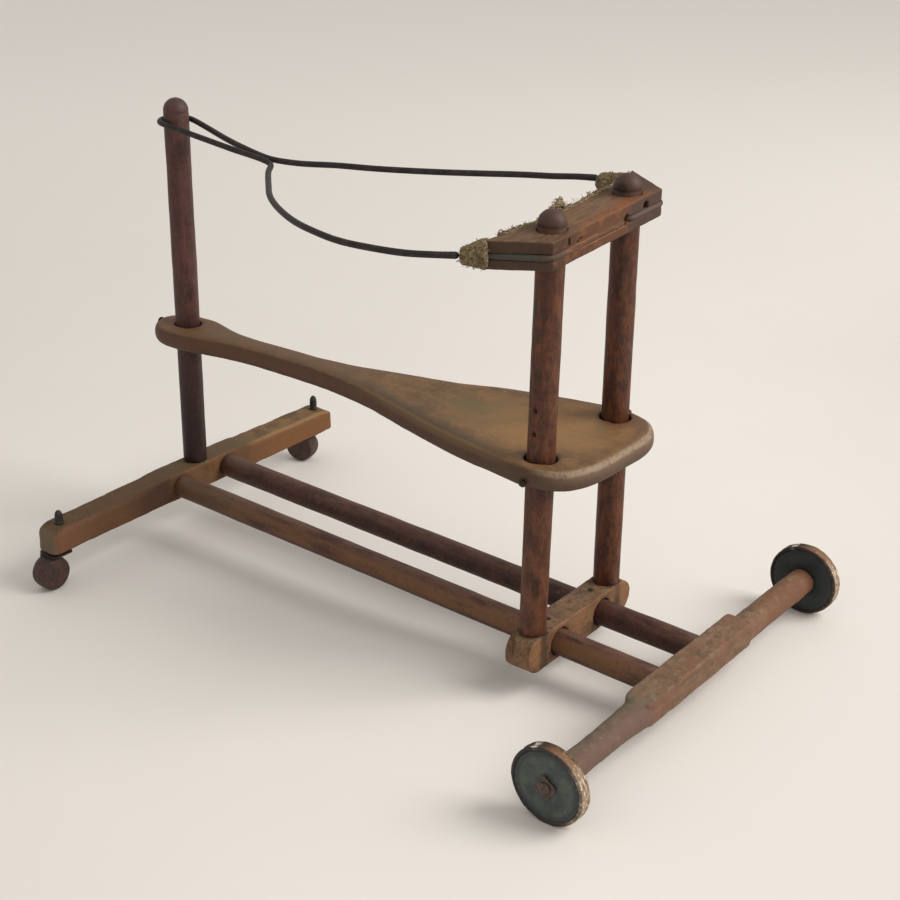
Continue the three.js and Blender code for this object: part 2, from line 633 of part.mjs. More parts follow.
function guardGeometry() {
  const ends = SIDES.map((side) => {
    const ball = new THREE.SphereGeometry(WIRE_R + 0.1, 10, 6);
    const { x, y, z } = pivotOnChassis(side);
    return ball.translate(x, y, z);
  });
  return joined(wire(guardPath(), WIRE_R, 120), ...ends);
}

// ---- Seat and its screws, in the walker's own frame -----------------------------------------

/** How far the seat has swollen from its tongue to its full width: [place, left, right]. */
const SWELL_TO_UPRIGHTS = [     // places are shares of the way from the post to the uprights
  [0.133, 0.056, 0.034], [0.202, 0.007, 0], [0.276, 0, 0], [0.359, 0.014, 0.007], [0.443, 0.063, 0.069],
  [0.541, 0.197, 0.228], [0.665, 0.465, 0.448], [0.794, 0.746, 0.766], [0.924, 0.93, 0.959], [1, 1, 1],
];
const SWELL_BEHIND = [          // places are shares of the seat behind the uprights
  [0.56, 0.915, 0.89], [0.81, 0.72, 0.697], [0.965, 0.35, 0.448],
];

/** Where the centre line of a dowel that stands at a chassis station meets the middle of the seat. */
function seatStation(y) {
  return fromChassis(0, y, chassisHeight(y, SEAT_MIDDLE)).y;
}

/** Half of the seat's full width. */
function seatWidest({ name, sign }) {
  return Math.abs(uprightX(sign, chassisHeight(BLOCK_Y, SEAT_MIDDLE))) + SEAT_RIM[name];
}

function seatOutline() {
  const front = seatStation(FRONT_Y);
  const rear = seatStation(BLOCK_Y);
  const noseSteps = 6;
  const nose = Array.from({ length: noseSteps + 1 }, (_, i) => {
    const angle = Math.PI * i / noseSteps;
    const half = angle < Math.PI / 2 ? NOSE_HALF.right : NOSE_HALF.left;
    return [-half * Math.cos(angle), front - NOSE * Math.sin(angle)];
  });
  const edges = SIDES.map((side, column) => {
    const { name, sign } = side;
    const [tongue, widest] = [TONGUE_HALF[name], seatWidest(side)];
    const point = (y, swell) => [sign * THREE.MathUtils.lerp(tongue, widest, swell), y];
    return [
      [sign * NOSE_HALF[name], front + NOSE_BACK],
      ...SWELL_TO_UPRIGHTS.map((row) => point(THREE.MathUtils.lerp(front, rear, row[0]), row[column + 1])),
      ...SWELL_BEHIND.map((row) => point(rear + row[0] * SEAT_BACK, row[column + 1])),
    ];
  });
  const corners = [...nose, ...edges[0], [0, rear + SEAT_BACK], ...edges[1].reverse()];
  const edge = new THREE.CatmullRomCurve3(corners.map(([x, y]) => new THREE.Vector3(x, y, 0)), true);
  return new THREE.Shape(edge.getSpacedPoints(100).slice(0, -1).map(({ x, y }) => new THREE.Vector2(x, y)));
}

/** A cutter round a line up through the seat, in the frame of the dowel that runs through it. */
function seatHole(radius) {
  return bore(radius, [0, 0, SEAT_TOP - 4 * SEAT_T - WHEEL_R], [0, 0, SEAT_TOP + SEAT_T], ROUND);
}

function seatGeometry() {
  const seat = slab(seatOutline(), SEAT_T, SEAT_EDGE).translate(0, 0, SEAT_MIDDLE);
  const postHole = seatHole(POST_R + SEAT_POST_CLEAR).translate(0, FRONT_Y, 0);
  const cutters = [postHole.applyMatrix4(CHASSIS)];
  for (const { sign } of SIDES) {
    const hole = seatHole(DOWEL_R + SEAT_UPRIGHT_CLEAR);
    cutters.push(hole.applyMatrix4(uprightMatrix(sign)).applyMatrix4(CHASSIS));
  }
  for (const { tip, out, reach } of screwPlaces()) {
    const end = tip.clone().addScaledVector(out, 2 * reach);
    cutters.push(bore(SCREW_R + GAP, tip.toArray(), end.toArray(), 8));
  }
  return cut(seat, cutters);
}

/** Tip, outward direction and length of each screw that locks the seat to a dowel. */
function screwPlaces() {
  const place = (name, tip, head) => {
    const out = head.clone().sub(tip);
    return { name: `seat_screw_${name}`, tip, reach: out.length(), out: out.normalize() };
  };
  const front = seatStation(FRONT_Y);
  const frontTip = new THREE.Vector3(0, front - POST_R - SCREW_CLEAR, SEAT_MIDDLE);
  const places = [place('front', frontTip, new THREE.Vector3(0, front - NOSE, SEAT_MIDDLE))];
  for (const side of SIDES) {
    const { name, sign } = side;
    const level = SEAT_MIDDLE + SCREW_LEVEL[name];
    const centre = uprightX(sign, chassisHeight(BLOCK_Y, level));
    const tip = new THREE.Vector3(centre, seatStation(BLOCK_Y), level);
    tip.x += sign * (DOWEL_R + SCREW_CLEAR + GAP);
    const head = new THREE.Vector3(sign * seatWidest(side), tip.y, level + SCREW_LIFT[name]);
    places.push(place(name, tip, head));
  }
  return places;
}

function screwGeometry({ tip, out, reach }) {
  const { r, h } = SCREW_HEAD;
  const start = reach + 2 * GAP;
  const screw = turned([[0, 0], [SCREW_R, 1], [SCREW_R, start], [r, start], [0.8 * r, start + 0.7 * h],
    [0.35 * r, start + h], [0, start + h]], 12);
  const turn = new THREE.Quaternion().setFromUnitVectors(new THREE.Vector3(0, 0, 1), out);
  return screw.applyQuaternion(turn).translate(tip.x, tip.y, tip.z);
}

// ---- Rear axle beam and wheels --------------------------------------------------------------

function axleBeamGeometry() {
  const square = slab(roundedRectangle(BEAM, BEAM_DEPTH, 3), 2 * BEAM_HALF, 2.5, 2).rotateY(Math.PI / 2);
  const middle = square.translate(0, BEAM_BACK - BEAM_DEPTH / 2, BEAM_RISE);
  const arms = SIDES.map(({ name, sign }) => {
    return rod(ARM_R[name], [sign * (BEAM_HALF - ARM_ROOT), 0, 0], [sign * ARM_END, 0, 0], ROUND);
  });
  const cutters = [];
  for (const { sign } of SIDES) {
    const rail = sign * RAIL_X;
    const mortise = [BEAM_FRONT_FACE - OVER, BEAM_FRONT_FACE + TENON_L + 1];
    cutters.push(bore(TENON_R + GAP, [rail, mortise[0], 0], [rail, mortise[1], 0], 16));
    const bolt = [ARM_END - BOLT_BITE - 1, ARM_END + OVER];
    cutters.push(bore(BOLT_R + GAP, [sign * bolt[0], 0, 0], [sign * bolt[1], 0, 0]));
  }
  return cut(joined(middle, ...arms), cutters);
}

function buildRearWheel(parent, { name, sign }) {
  const axle = new THREE.Group();
  axle.rotation.y = sign * Math.PI / 2;
  parent.add(axle);
  const outer = WHEEL_OUTER_X;
  const inner = outer - WHEEL_T;
  const rim = WHEEL_R - TYRE_T;
  part(axle, `wheel_${name}`, ring(BOLT_R + BOLT_CLEAR, rim - GAP, inner, outer, 0.8, 32), 'wheel_paint');
  part(axle, `tyre_${name}`, ring(rim, WHEEL_R, inner, outer, 1, 32), 'tread');
  const plate = roundedRectangle(WASHER.size, WASHER.size, WASHER.corner);
  const hole = new THREE.Path();
  hole.absarc(0, 0, BOLT_R + GAP, 0, 2 * Math.PI);
  plate.holes.push(hole);
  const washerX = outer + BOLT_CLEAR;
  const washer = slab(plate, WASHER.t).translate(0, 0, washerX + WASHER.t / 2);
  part(axle, `wheel_washer_${name}`, washer, 'dark_iron');
  const head = washerX + WASHER.t + GAP;
  const tip = ARM_END - BOLT_BITE;
  const bolt = turned([[0, tip], [BOLT_R, tip + 2], [BOLT_R, head], [BOLT_HEAD.r, head],
    [BOLT_HEAD.r, head + BOLT_HEAD.h / 2], [0.7 * BOLT_HEAD.r, head + BOLT_HEAD.h],
    [0, head + BOLT_HEAD.h]], 14);
  part(axle, `wheel_bolt_${name}`, bolt, 'dark_iron');
}

// ---- Casters --------------------------------------------------------------------------------

/** The swivelling horn: a long crown under the plate, bent down to a leg on the wheel's inner side. */
function hornGeometry(crownTop) {
  const crownBottom = crownTop - CROWN_T;
  const legY = CASTER_T / 2 + LEG_CLEAR + LEG_T / 2;
  const eye = { x: CASTER_TRAIL, z: -CASTER_DROP, r: 4.5 };
  const [back, front] = [-8, CASTER_TRAIL + 4];
  const leg = new THREE.Shape();
  leg.moveTo(CASTER_TRAIL - HORN_FOOT, crownTop);
  leg.lineTo(front - 2, crownTop);
  leg.absarc(eye.x, eye.z, eye.r, 0.2, -2.8, true);
  leg.closePath();
  const crownPlan = roundedRectangle(front - back, 2 * legY + LEG_T, CROWN_CORNER);
  const crown = slab(crownPlan, CROWN_T, 0, 4).translate((front + back) / 2, 0, crownTop - CROWN_T / 2);
  const bentLeg = slab(leg, LEG_T).rotateX(Math.PI / 2).translate(0, -legY, 0);
  const reach = legY + LEG_T;
  return cut(joined(crown, bentLeg), [
    bore(KINGPIN_R + PIN_CLEAR, [0, 0, crownBottom - OVER], [0, 0, crownTop + OVER]),
    bore(AXLE_PIN_R + GAP, [eye.x, -reach, eye.z], [eye.x, reach, eye.z], 10),
  ]);
}

/** A barrel-shaped wheel about Z with well rounded edges. */
function casterWheelGeometry() {
  const half = CASTER_T / 2;
  const steps = 3;
  const arc = (from, height) => Array.from({ length: steps + 1 }, (_, i) => {
    const angle = from + Math.PI / 2 * i / steps;
    const radius = CASTER_R - CASTER_EDGE + CASTER_EDGE * Math.cos(angle);
    return [radius, height + CASTER_EDGE * Math.sin(angle)];
  });
  const hub = AXLE_PIN_R + PIN_CLEAR;
  const tread = [...arc(-Math.PI / 2, CASTER_EDGE - half), ...arc(0, half - CASTER_EDGE)];
  return turned([[hub, -half], ...tread, [hub, half], [hub, -half]], 24);
}

function buildCaster(parent, { name, sign }) {
  const caster = new THREE.Group();
  caster.position.set(sign * CASTER_X, FRONT_Y, -BAR_RISE);
  caster.rotation.z = CASTER_YAW[name];
  parent.add(caster);
  const plateBottom = -GAP - PLATE_T;
  const crownTop = plateBottom - GAP;
  const shoulderToEnd = (CASTER_X - BAR_SHOULDER.x) / (BAR_HALF - BAR_END_WEAR.x - BAR_SHOULDER.x);
  const barTop = BAR_RISE + THREE.MathUtils.lerp(BAR_SHOULDER.rise, BAR_END_RISE, shoulderToEnd);
  const pinHead = crownTop - CROWN_T - GAP;
  const pinTop = barTop + KINGPIN_RISE;
  const { r, h } = KINGPIN_HEAD;
  const kingpin = turned([[0, pinHead - h], [r, pinHead - h], [r, pinHead], [KINGPIN_R, pinHead],
    [KINGPIN_R, pinTop], [0, pinTop]], 14);
  part(caster, `caster_kingpin_${name}`, kingpin, 'dark_iron');
  const foot = barTop + 2 * GAP;
  const tall = ACORN_H[name];
  const thread = KINGPIN_R + GAP;
  const acorn = turned([[thread, foot], [ACORN_R, foot], [ACORN_R, foot + 0.35 * tall],
    [0.88 * ACORN_R, foot + 0.6 * tall], [0.55 * ACORN_R, foot + 0.85 * tall], [0, foot + tall],
    [0, pinTop + GAP], [thread, pinTop + GAP], [thread, foot]], 14);
  part(caster, `acorn_nut_${name}`, acorn, 'dark_iron');
  const plate = ring(KINGPIN_R + GAP, PLATE_R, plateBottom, -GAP, 0, 20);
  part(caster, `caster_plate_${name}`, plate, 'dark_iron');
  part(caster, `caster_horn_${name}`, hornGeometry(crownTop), 'dark_iron');
  const axle = new THREE.Group();
  axle.position.set(CASTER_TRAIL, 0, -CASTER_DROP);
  axle.rotation.x = Math.PI / 2;
  caster.add(axle);
  part(axle, `caster_wheel_${name}`, casterWheelGeometry(), 'caster_wood');
  const face = -CASTER_T / 2 - PIN_CLEAR;
  const out = CASTER_T / 2 + LEG_CLEAR + LEG_T + GAP;
  const { r: headR, h: headH } = PIN_HEAD;
  const pin = turned([[0, face - headH], [0.8 * headR, face - headH], [headR, face], [AXLE_PIN_R, face],
    [AXLE_PIN_R, out], [headR, out], [0.8 * headR, out + headH], [0, out + headH]], 12);
  part(axle, `caster_pin_${name}`, pin, 'dark_iron');
}

// ---- The walker -----------------------------------------------------------------------------

const walker = new THREE.Group();
const chassis = new THREE.Group();
chassis.applyMatrix4(CHASSIS);
walker.add(chassis);
const board = new THREE.Group();
board.applyMatrix4(BOARD);
chassis.add(board);

part(chassis, 'front_crossbar', crossbarGeometry(), 'worn_wood');
part(chassis, 'front_post', frontPostGeometry(), 'dark_wood');
part(chassis, 'stretcher_block', blockGeometry(), 'worn_wood');
part(chassis, 'axle_beam', axleBeamGeometry(), 'worn_wood');
part(chassis, 'guard_hoop', guardGeometry(), 'dark_iron');
part(board, 'backrest_board', boardGeometry(), 'worn_wood');
part(board, 'felt_strip', feltStripGeometry(), 'felt');
for (const side of SIDES) {
  const { name, sign } = side;
  part(chassis, `rail_${name}`, railGeometry(sign), 'dark_wood');
  part(chassis, `upright_${name}`, uprightGeometry(side), 'dark_wood');
  const nail = part(chassis, `block_nail_${name}`, nailGeometry(), 'dark_iron');
  nail.position.set(sign * RAIL_X, BLOCK_Y, BLOCK_RISE);
  part(board, `felt_roll_${name}`, feltRollGeometry(side), 'felt');
  part(board, `guard_tail_${name}`, wire(tailPath(side), WIRE_R, TAIL_STEPS), 'dark_iron');
  buildRearWheel(chassis, side);
  buildCaster(chassis, side);
}
part(walker, 'seat', seatGeometry(), 'seat_wood');
for (const place of screwPlaces()) {
  part(walker, place.name, screwGeometry(place), 'screw_steel');
}

export default walker;
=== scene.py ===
"""An old wooden baby walker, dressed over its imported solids.

Pieces are modelled in millimetres, in the frame of the chassis or of the board, and then set in
place in metres. The child faces -Y and the child's left is +X.
"""

import math
import random

import bpy
import numpy as np
from mathutils import Matrix, Vector
from mathutils.kdtree import KDTree


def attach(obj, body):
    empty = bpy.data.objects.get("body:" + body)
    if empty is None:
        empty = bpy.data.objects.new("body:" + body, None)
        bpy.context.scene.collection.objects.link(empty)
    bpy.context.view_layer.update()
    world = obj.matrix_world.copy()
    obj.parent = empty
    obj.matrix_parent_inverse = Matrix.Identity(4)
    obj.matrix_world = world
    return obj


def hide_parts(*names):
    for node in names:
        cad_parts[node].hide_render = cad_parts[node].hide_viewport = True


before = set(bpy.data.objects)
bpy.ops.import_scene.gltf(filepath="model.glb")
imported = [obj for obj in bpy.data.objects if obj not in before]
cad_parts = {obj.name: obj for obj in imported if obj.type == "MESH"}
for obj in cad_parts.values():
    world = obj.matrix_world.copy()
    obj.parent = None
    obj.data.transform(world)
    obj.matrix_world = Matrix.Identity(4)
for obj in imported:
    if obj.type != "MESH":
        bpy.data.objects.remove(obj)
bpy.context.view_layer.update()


# ---- The axle beam ----
# A beech beam left square in the middle and turned down to a round arm at each end. It was sawn
# and turned from one stick, and its stain has worn to a dusty, speckled brown.

SIDES = {"left": 1, "right": -1}
AXLE_Y, AXLE_Z = 341.5, 38
FRONT_Y = -681.6  # the crossbar, in front of the axle
SLOPE = math.asin(22.4 / -FRONT_Y)  # the chassis rises this much to the crossbar
CHASSIS = (Matrix.Translation((0, AXLE_Y / 1000, AXLE_Z / 1000))
           @ Matrix.Rotation(-SLOPE, 4, "X") @ Matrix.Scale(0.001, 4))
BEAM_HALF = 97
BEAM_SIZE = (30, 28)
BEAM_CENTRE = (-1, 2)
ARM_R = {"left": 13.0, "right": 14.2}
ARM_SWELL = {"left": 2.2, "right": 0.6}  # where it leaves the square
ARM_END = 226.7


def done():
    """Closes edit mode."""
    bpy.ops.object.mode_set(mode="OBJECT")


def only(*objects):
    """Selects these objects and nothing else, out of edit mode. The first is the active one."""
    if bpy.context.mode != "OBJECT":
        done()
    bpy.ops.object.select_all(action="DESELECT")
    for obj in objects:
        obj.select_set(True)
    bpy.context.view_layer.objects.active = objects[0]


def opened(obj):
    """Opens a piece in edit mode with all of it selected."""
    only(obj)
    bpy.ops.object.mode_set(mode="EDIT")
    bpy.ops.mesh.select_all(action="SELECT")


def applied(obj, kind, **settings):
    """Adds a modifier to a piece and applies it."""
    only(obj)
    modifier = obj.modifiers.new(kind, kind)
    for setting, value in settings.items():
        setattr(modifier, setting, value)
    bpy.ops.object.modifier_apply(modifier=modifier.name)
    return obj


def eased(obj, width, segments=2, angle=0.6):
    """Takes the sharp edges off a piece."""
    return applied(obj, "BEVEL", width=width, segments=segments, limit_method="ANGLE",
                   angle_limit=angle)


def placed(obj, matrix):
    """Moves a mesh to its place and leaves its object at the origin."""
    only(obj)
    obj.matrix_world = matrix @ obj.matrix_world
    bpy.ops.object.transform_apply(location=True, rotation=True, scale=True)
    return obj


def squared(size, centre=(0, 0, 0)):
    """A squared-up block."""
    bpy.ops.mesh.primitive_cube_add(size=1)
    block = bpy.context.object
    return placed(block, Matrix.Translation(centre) @ Matrix.Diagonal((*size, 1)))


def turned(profile, sides=48, bored=False):
    """A piece turned about Z, from (radius, height) pairs listed from its foot up. The profile of a
    bored one starts and ends in its bore."""
    (radius, height), *rest = profile
    if bored:
        rest.append(profile[0])
    fill = "NOTHING" if bored else "NGON"
    bpy.ops.mesh.primitive_circle_add(vertices=sides, radius=radius, fill_type=fill)
    piece = placed(bpy.context.object, Matrix.Translation((0, 0, height)))
    opened(piece)
    for next_radius, next_height in rest:
        rise = {"value": (0, 0, next_height - height)}
        bpy.ops.mesh.extrude_region_move(TRANSFORM_OT_translate=rise)
        spread = next_radius / radius
        bpy.ops.transform.resize(value=(spread, spread, 1), center_override=(0, 0, next_height))
        radius, height = next_radius, next_height
    bpy.ops.mesh.select_all(action="SELECT")
    bpy.ops.mesh.remove_doubles(threshold=1e-3)
    bpy.ops.mesh.normals_make_consistent(inside=False)
    done()
    return piece


def straight(radius, bottom, top):
    """The profile of a straight round length, with enough rings to take wear."""
    rings = max(2, round((top - bottom) / 9))
    return [(radius, bottom + (top - bottom) * i / rings) for i in range(rings + 1)]


def choose(obj, domain, wanted):
    """Opens a piece in edit mode with only the chosen vertices or edges of it selected."""
    only(obj)
    bpy.ops.object.mode_set(mode="EDIT")
    bpy.ops.mesh.select_mode(type=domain)
    bpy.ops.mesh.select_all(action="DESELECT")
    done()
    place = [vertex.co for vertex in obj.data.vertices]
    if domain == "VERT":
        for vertex in obj.data.vertices:
            vertex.select = wanted(vertex.co)
    else:
        for edge in obj.data.edges:
            edge.select = wanted(*(place[i] for i in edge.vertices))
    bpy.ops.object.mode_set(mode="EDIT")


def sliced(obj, axis, places):
    """Cuts new edge loops across a piece."""
    normal = [0, 0, 0]
    normal[axis] = 1
    opened(obj)
    for value in places:
        point = [0, 0, 0]
        point[axis] = value
        bpy.ops.mesh.select_all(action="SELECT")
        bpy.ops.mesh.bisect(plane_co=point, plane_no=normal)
    done()
    return obj


def combined(obj, tools, operation):
    """Joins or cuts a piece with others, which are used up."""
    for tool in tools:
        applied(obj, "BOOLEAN", object=tool, operation=operation, solver="EXACT")
        bpy.data.objects.remove(tool)
    return obj


def fused(obj, voxel, rounds=4):
    """Makes an even skin over a piece and rubs its edges down."""
    applied(obj, "REMESH", mode="VOXEL", voxel_size=voxel)
    return applied(obj, "SMOOTH", factor=0.5, iterations=rounds)


def weathered(obj, *swells):
    """Uneven wear. Each swell is how wide its waves are and how deep, in millimetres."""
    for width, depth in swells:
        clouds = bpy.data.textures.new("swell", "CLOUDS")
        clouds.noise_scale = width / 1000
        applied(obj, "DISPLACE", texture=clouds, strength=depth / 1000, mid_level=0.5,
                texture_coords="LOCAL")
    return obj


def fitted(obj, name, finish, body, slot, *nodes):
    """Names a finished piece and sets it on its body in the place of its CAD nodes."""
    obj.name = obj.data.name = name
    obj.data.materials.clear()
    obj.data.materials.append(finish.material)
    only(obj)
    bpy.ops.object.shade_smooth()
    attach(obj, body)
    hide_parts(*nodes)
    return obj


def paint(code):
    """A colour in linear light from its code on a paint card."""
    parts = [int(code[i:i + 2], 16) / 255 for i in (0, 2, 4)]
    linear = [c / 12.92 if c <= 0.04045 else ((c + 0.055) / 1.055) ** 2.4 for c in parts]
    return (*linear, 1)


class Value:
    """A number that varies over a surface. A sum written with it adds its Math nodes."""

    def __init__(self, finish, socket):
        self.finish = finish
        self.socket = socket

    def math(self, operation, first, second):
        return self.finish.node("Math", {"operation": operation}, {0: first, 1: second})

    def __add__(self, other):
        return self.math("ADD", self, other)

    def __sub__(self, other):
        return self.math("SUBTRACT", self, other)

    def __rsub__(self, other):
        return self.math("SUBTRACT", other, self)

    def __mul__(self, other):
        return self.math("MULTIPLY", self, other)

    __radd__ = __add__

    def rise(self, low, high):
        """Goes smoothly from 0 at low to 1 at high, or down where high is the lesser."""
        ends = {"Value": self, "From Min": low, "From Max": high}
        return self.finish.node("MapRange", {"interpolation_type": "SMOOTHSTEP"}, ends)

    def size(self):
        return self.math("ABSOLUTE", self, 0)

    def root(self):
        return self.math("SQRT", self, 0)


class Finish:
    """A procedural finish: layers of colour, and a height that gives the relief."""

    def __init__(self, name):
        self.material = bpy.data.materials.new(name)
        self.material.use_nodes = True
        self.tree = self.material.node_tree
        self.place = self.node("TexCoord", {}, {}, "Object")
        self.colour = self.height = None

    def node(self, kind, settings, sockets, out=0):
        made = self.tree.nodes.new("ShaderNode" + kind)
        for setting, value in settings.items():
            setattr(made, setting, value)
        self.feed(made.inputs, sockets)
        return Value(self, made.outputs[out])

    def feed(self, inputs, sockets):
        """Links a socket to each value that varies, and sets the others."""
        for socket, value in sockets.items():
            if isinstance(value, Value):
                self.tree.links.new(value.socket, inputs[socket])
            else:
                inputs[socket].default_value = value

    def axis(self, name):
        """The place along an axis of the whole walker, in millimetres."""
        return self.node("SeparateXYZ", {}, {0: self.place}, name) * 1000

    def facing(self, name):
        """How far the surface faces along an axis, from -1 to 1."""
        normal = self.node("TexCoord", {}, {}, "Normal")
        return self.node("SeparateXYZ", {}, {0: normal}, name)

    def noise(self, size, seed, detail=3, rough=0.5, bend=0, place=None):
        """Cloudy variation, from 0 to 1, with spots of the size given in millimetres."""
        scale = [1000 / s for s in (size if hasattr(size, "__len__") else [size] * 3)]
        shift = [7.3 * seed, 3.1 * seed, 5.7 * seed]
        place = self.node("Mapping", {}, {"Vector": place or self.place, "Location": shift,
                                          "Scale": scale})
        return self.node("TexNoise", {}, {"Vector": place, "Scale": 1, "Detail": detail,
                                          "Roughness": rough, "Distortion": bend})

    def mix(self, first, second, share):
        return self.node("Mix", {"data_type": "RGBA"}, {0: share, 6: first, 7: second}, 2)

    def base(self, first, second, share):
        """Starts with one colour and blends another into it."""
        self.colour = self.mix(paint(first), paint(second), share)

    def layers(self, *coats):
        """Lays more colours over what is there. Each has its share of the surface, from 0 to 1."""
        for code, share in coats:
            self.colour = self.mix(self.colour, paint(code), share)

    def finish(self, roughness, relief, metallic=0, specular=0.4):
        """Joins the layers to the shader. relief is the depth of the height in millimetres."""
        bump = self.node("Bump", {}, {"Strength": 1, "Distance": relief / 1000,
                                      "Height": self.height})
        self.feed(self.tree.nodes["Principled BSDF"].inputs,
                  {"Base Color": self.colour, "Normal": bump, "Roughness": roughness,
                   "Metallic": metallic, "Specular IOR Level": specular})


def wood(name, grain, dark, middle, light, seed, marks=1):
    """Old stained wood whose fibres run along an axis: 0, 1 or 2. Wear has mottled its stain."""
    finish = Finish(name)

    def fibre(across, along):
        return [along if axis == grain else across for axis in range(3)]

    figure = finish.noise(fibre(13, 90), detail=4, rough=0.6, bend=0.6, seed=seed)
    streaks = finish.noise(fibre(2.6, 40), detail=4, rough=0.7, seed=seed + 1)
    pores = finish.noise(fibre(0.8, 5), detail=3, rough=0.6, seed=seed + 2)
    stain = finish.noise(26, detail=6, rough=0.68, seed=seed + 3)
    mottle = finish.noise(5, detail=5, rough=0.75, seed=seed + 4)
    finish.base(dark, middle, (figure * 0.6 + stain * 0.8).rise(0.5, 0.86))
    finish.layers((light, (streaks * 0.35 + stain * 0.4 + mottle * 0.5).rise(0.56, 0.76) * 0.75),
                  (dark, mottle.rise(0.46, 0.32) * 0.45 * marks),
                  (dark, pores.rise(0.42, 0.3) * 0.3 * marks))
    finish.height = pores * 0.4 + streaks * 0.4 + mottle * 0.5
    finish.streaks, finish.stain, finish.mottle = streaks, stain, mottle
    return finish


def speckled(finish, colour, size, share, seed):
    """Adds small marks of a colour, such as dirt, flecks and splashes."""
    marks = finish.noise(size, detail=2, rough=0.7, seed=seed)
    finish.layers((colour, marks.rise(0.62, 0.7) * share))


beam = squared((2 * BEAM_HALF, *BEAM_SIZE), (0, *BEAM_CENTRE))
sliced(beam, 0, [-BEAM_HALF + 12, -BEAM_HALF + 5, BEAM_HALF - 18, BEAM_HALF - 8])
choose(beam, "VERT", lambda co: co.x > BEAM_HALF - 1)
bpy.ops.transform.resize(value=(1, 0.84, 0.86), center_override=(0, 0.5, 0.6))
choose(beam, "VERT", lambda co: BEAM_HALF - 9 < co.x < BEAM_HALF - 7 and co.z > 0)
bpy.ops.transform.translate(value=(0, 0, -1.0))
choose(beam, "VERT", lambda co: co.x < 1 - BEAM_HALF)
bpy.ops.transform.resize(value=(1, 0.9, 0.9), center_override=(0, 0.5, 0.6))
done()
eased(beam, 2.6, 3)
arms = []
for side, sign in SIDES.items():
    radius, swell = ARM_R[side], ARM_SWELL[side]
    arm = turned([(radius + swell, 60), (radius + swell, BEAM_HALF - 2),
                  (radius + 0.7 * swell, BEAM_HALF + 8), (radius + 0.3 * swell, BEAM_HALF + 22),
                  (radius, BEAM_HALF + 42), (radius, ARM_END - 0.8), (radius - 0.8, ARM_END)])
    arms.append(placed(arm, Matrix.Rotation(sign * math.pi / 2, 4, "Y")))
fused(combined(beam, arms, "UNION"), 1.2)
placed(beam, CHASSIS)
weathered(beam, (26, 1.6), (7, 0.5))

beam_wood = wood("beam wood", 0, "57412f", "755842", "866b4e", seed=1, marks=0.5)
x = beam_wood.axis("X")
top, rear = beam_wood.facing("Z"), beam_wood.facing("Y")
near_arm = x.rise(84, 100)
dust = beam_wood.noise(9, detail=6, rough=0.75, seed=8)
beam_wood.layers(
    ("784f3b", beam_wood.noise(20, detail=5, rough=0.7, seed=7).rise(0.46, 0.64) * 0.6),
    ("6e4830", x.rise(-100, -150) * 0.75),
    ("79503e", rear.rise(0.5, 0.9) * x.rise(20, 90) * 0.6),
    ("604c40", near_arm * 0.85),
    ("6c5246", near_arm * rear.rise(0.1, 0.9) * dust.rise(0.3, 0.55) * 0.8),
    ("96806b", near_arm * dust.rise(0.58, 0.68) * 0.35),
    ("696250", x.rise(50, 92) * rear.rise(0.6, -0.2) * dust.rise(0.34, 0.6) * 0.8),
    ("87755c", top.rise(0.4, 0.9) * dust.rise(0.5, 0.62) * (1 - near_arm * 0.7) * 0.5))
speckled(beam_wood, "422f26", 2.2, 0.5, 11)
beam_wood.finish(0.62 + beam_wood.stain * 0.25, 0.5)
fitted(beam, "beam", beam_wood, "frame", "beam", "axle_beam")


# ---- The rear wheels ----
# Turned wooden discs painted slate green, each with a brown tread band pinned round it. A square
# washer and a coach bolt hold each wheel on the end of its arm.

WHEEL_R = 38
WHEEL_INNER, WHEEL_OUTER = 227.2, 239.2
HUB = 241.3  # outer face of the washer, from the middle of the walker


def distance(*offsets):
    """How far off a place is, from its offsets along the axes."""
    squares = [offset * offset for offset in offsets]
    return sum(squares[1:], squares[0]).root()


wheel_paint = Finish("wheel paint")
patch = wheel_paint.noise(16, detail=4, rough=0.6, seed=20)
grit = wheel_paint.noise(1.2, detail=2, seed=21)
across = wheel_paint.axis("Y") - AXLE_Y
height = wheel_paint.axis("Z") - AXLE_Z
radius = distance(across, height)
wheel_paint.base("394241", "50574f", patch.rise(0.35, 0.65))
wheel_paint.layers(
    ("2c3133", radius.rise(27, 32) * 0.7),
    ("6a7068", wheel_paint.noise(3.5, detail=3, seed=22).rise(0.62, 0.72) * 0.5),
    ("5a3a2c", wheel_paint.noise(7, detail=4, seed=23).rise(0.66, 0.74) * 0.6),
    ("23262a", wheel_paint.axis("X").size().rise(WHEEL_INNER + 0.6, WHEEL_INNER) * 0.8))
wheel_paint.height = grit * 0.4 + patch
wheel_paint.finish(0.5 + patch * 0.25, 0.25)

tread_paint = Finish("tread")
across = tread_paint.axis("Y") - AXLE_Y
height = tread_paint.axis("Z") - AXLE_Z
lip = tread_paint.axis("X").size()
turn = tread_paint.node("Math", {"operation": "ARCTAN2"}, {0: height, 1: across})
unrolled = tread_paint.node("CombineXYZ", {}, {0: turn * (WHEEL_R / 1000), 1: lip * 0.001})
patch = tread_paint.noise((16, 6, 9), detail=4, rough=0.65, seed=30, place=unrolled)
streaks = tread_paint.noise((12, 1.6, 9), detail=4, rough=0.65, seed=32, place=unrolled)
chips = tread_paint.noise((5, 3, 9), detail=4, rough=0.7, seed=33, place=unrolled)
low_side = across.rise(14, 26) * height.rise(34, 20)
outer_face = tread_paint.facing("X").size().rise(0.5, 0.9) * lip.rise(WHEEL_OUTER - 2, WHEEL_OUTER)
white_spot = distance(across + 14, height - 35)
tread_paint.base("29201d", "4c3528", patch.rise(0.35, 0.62))
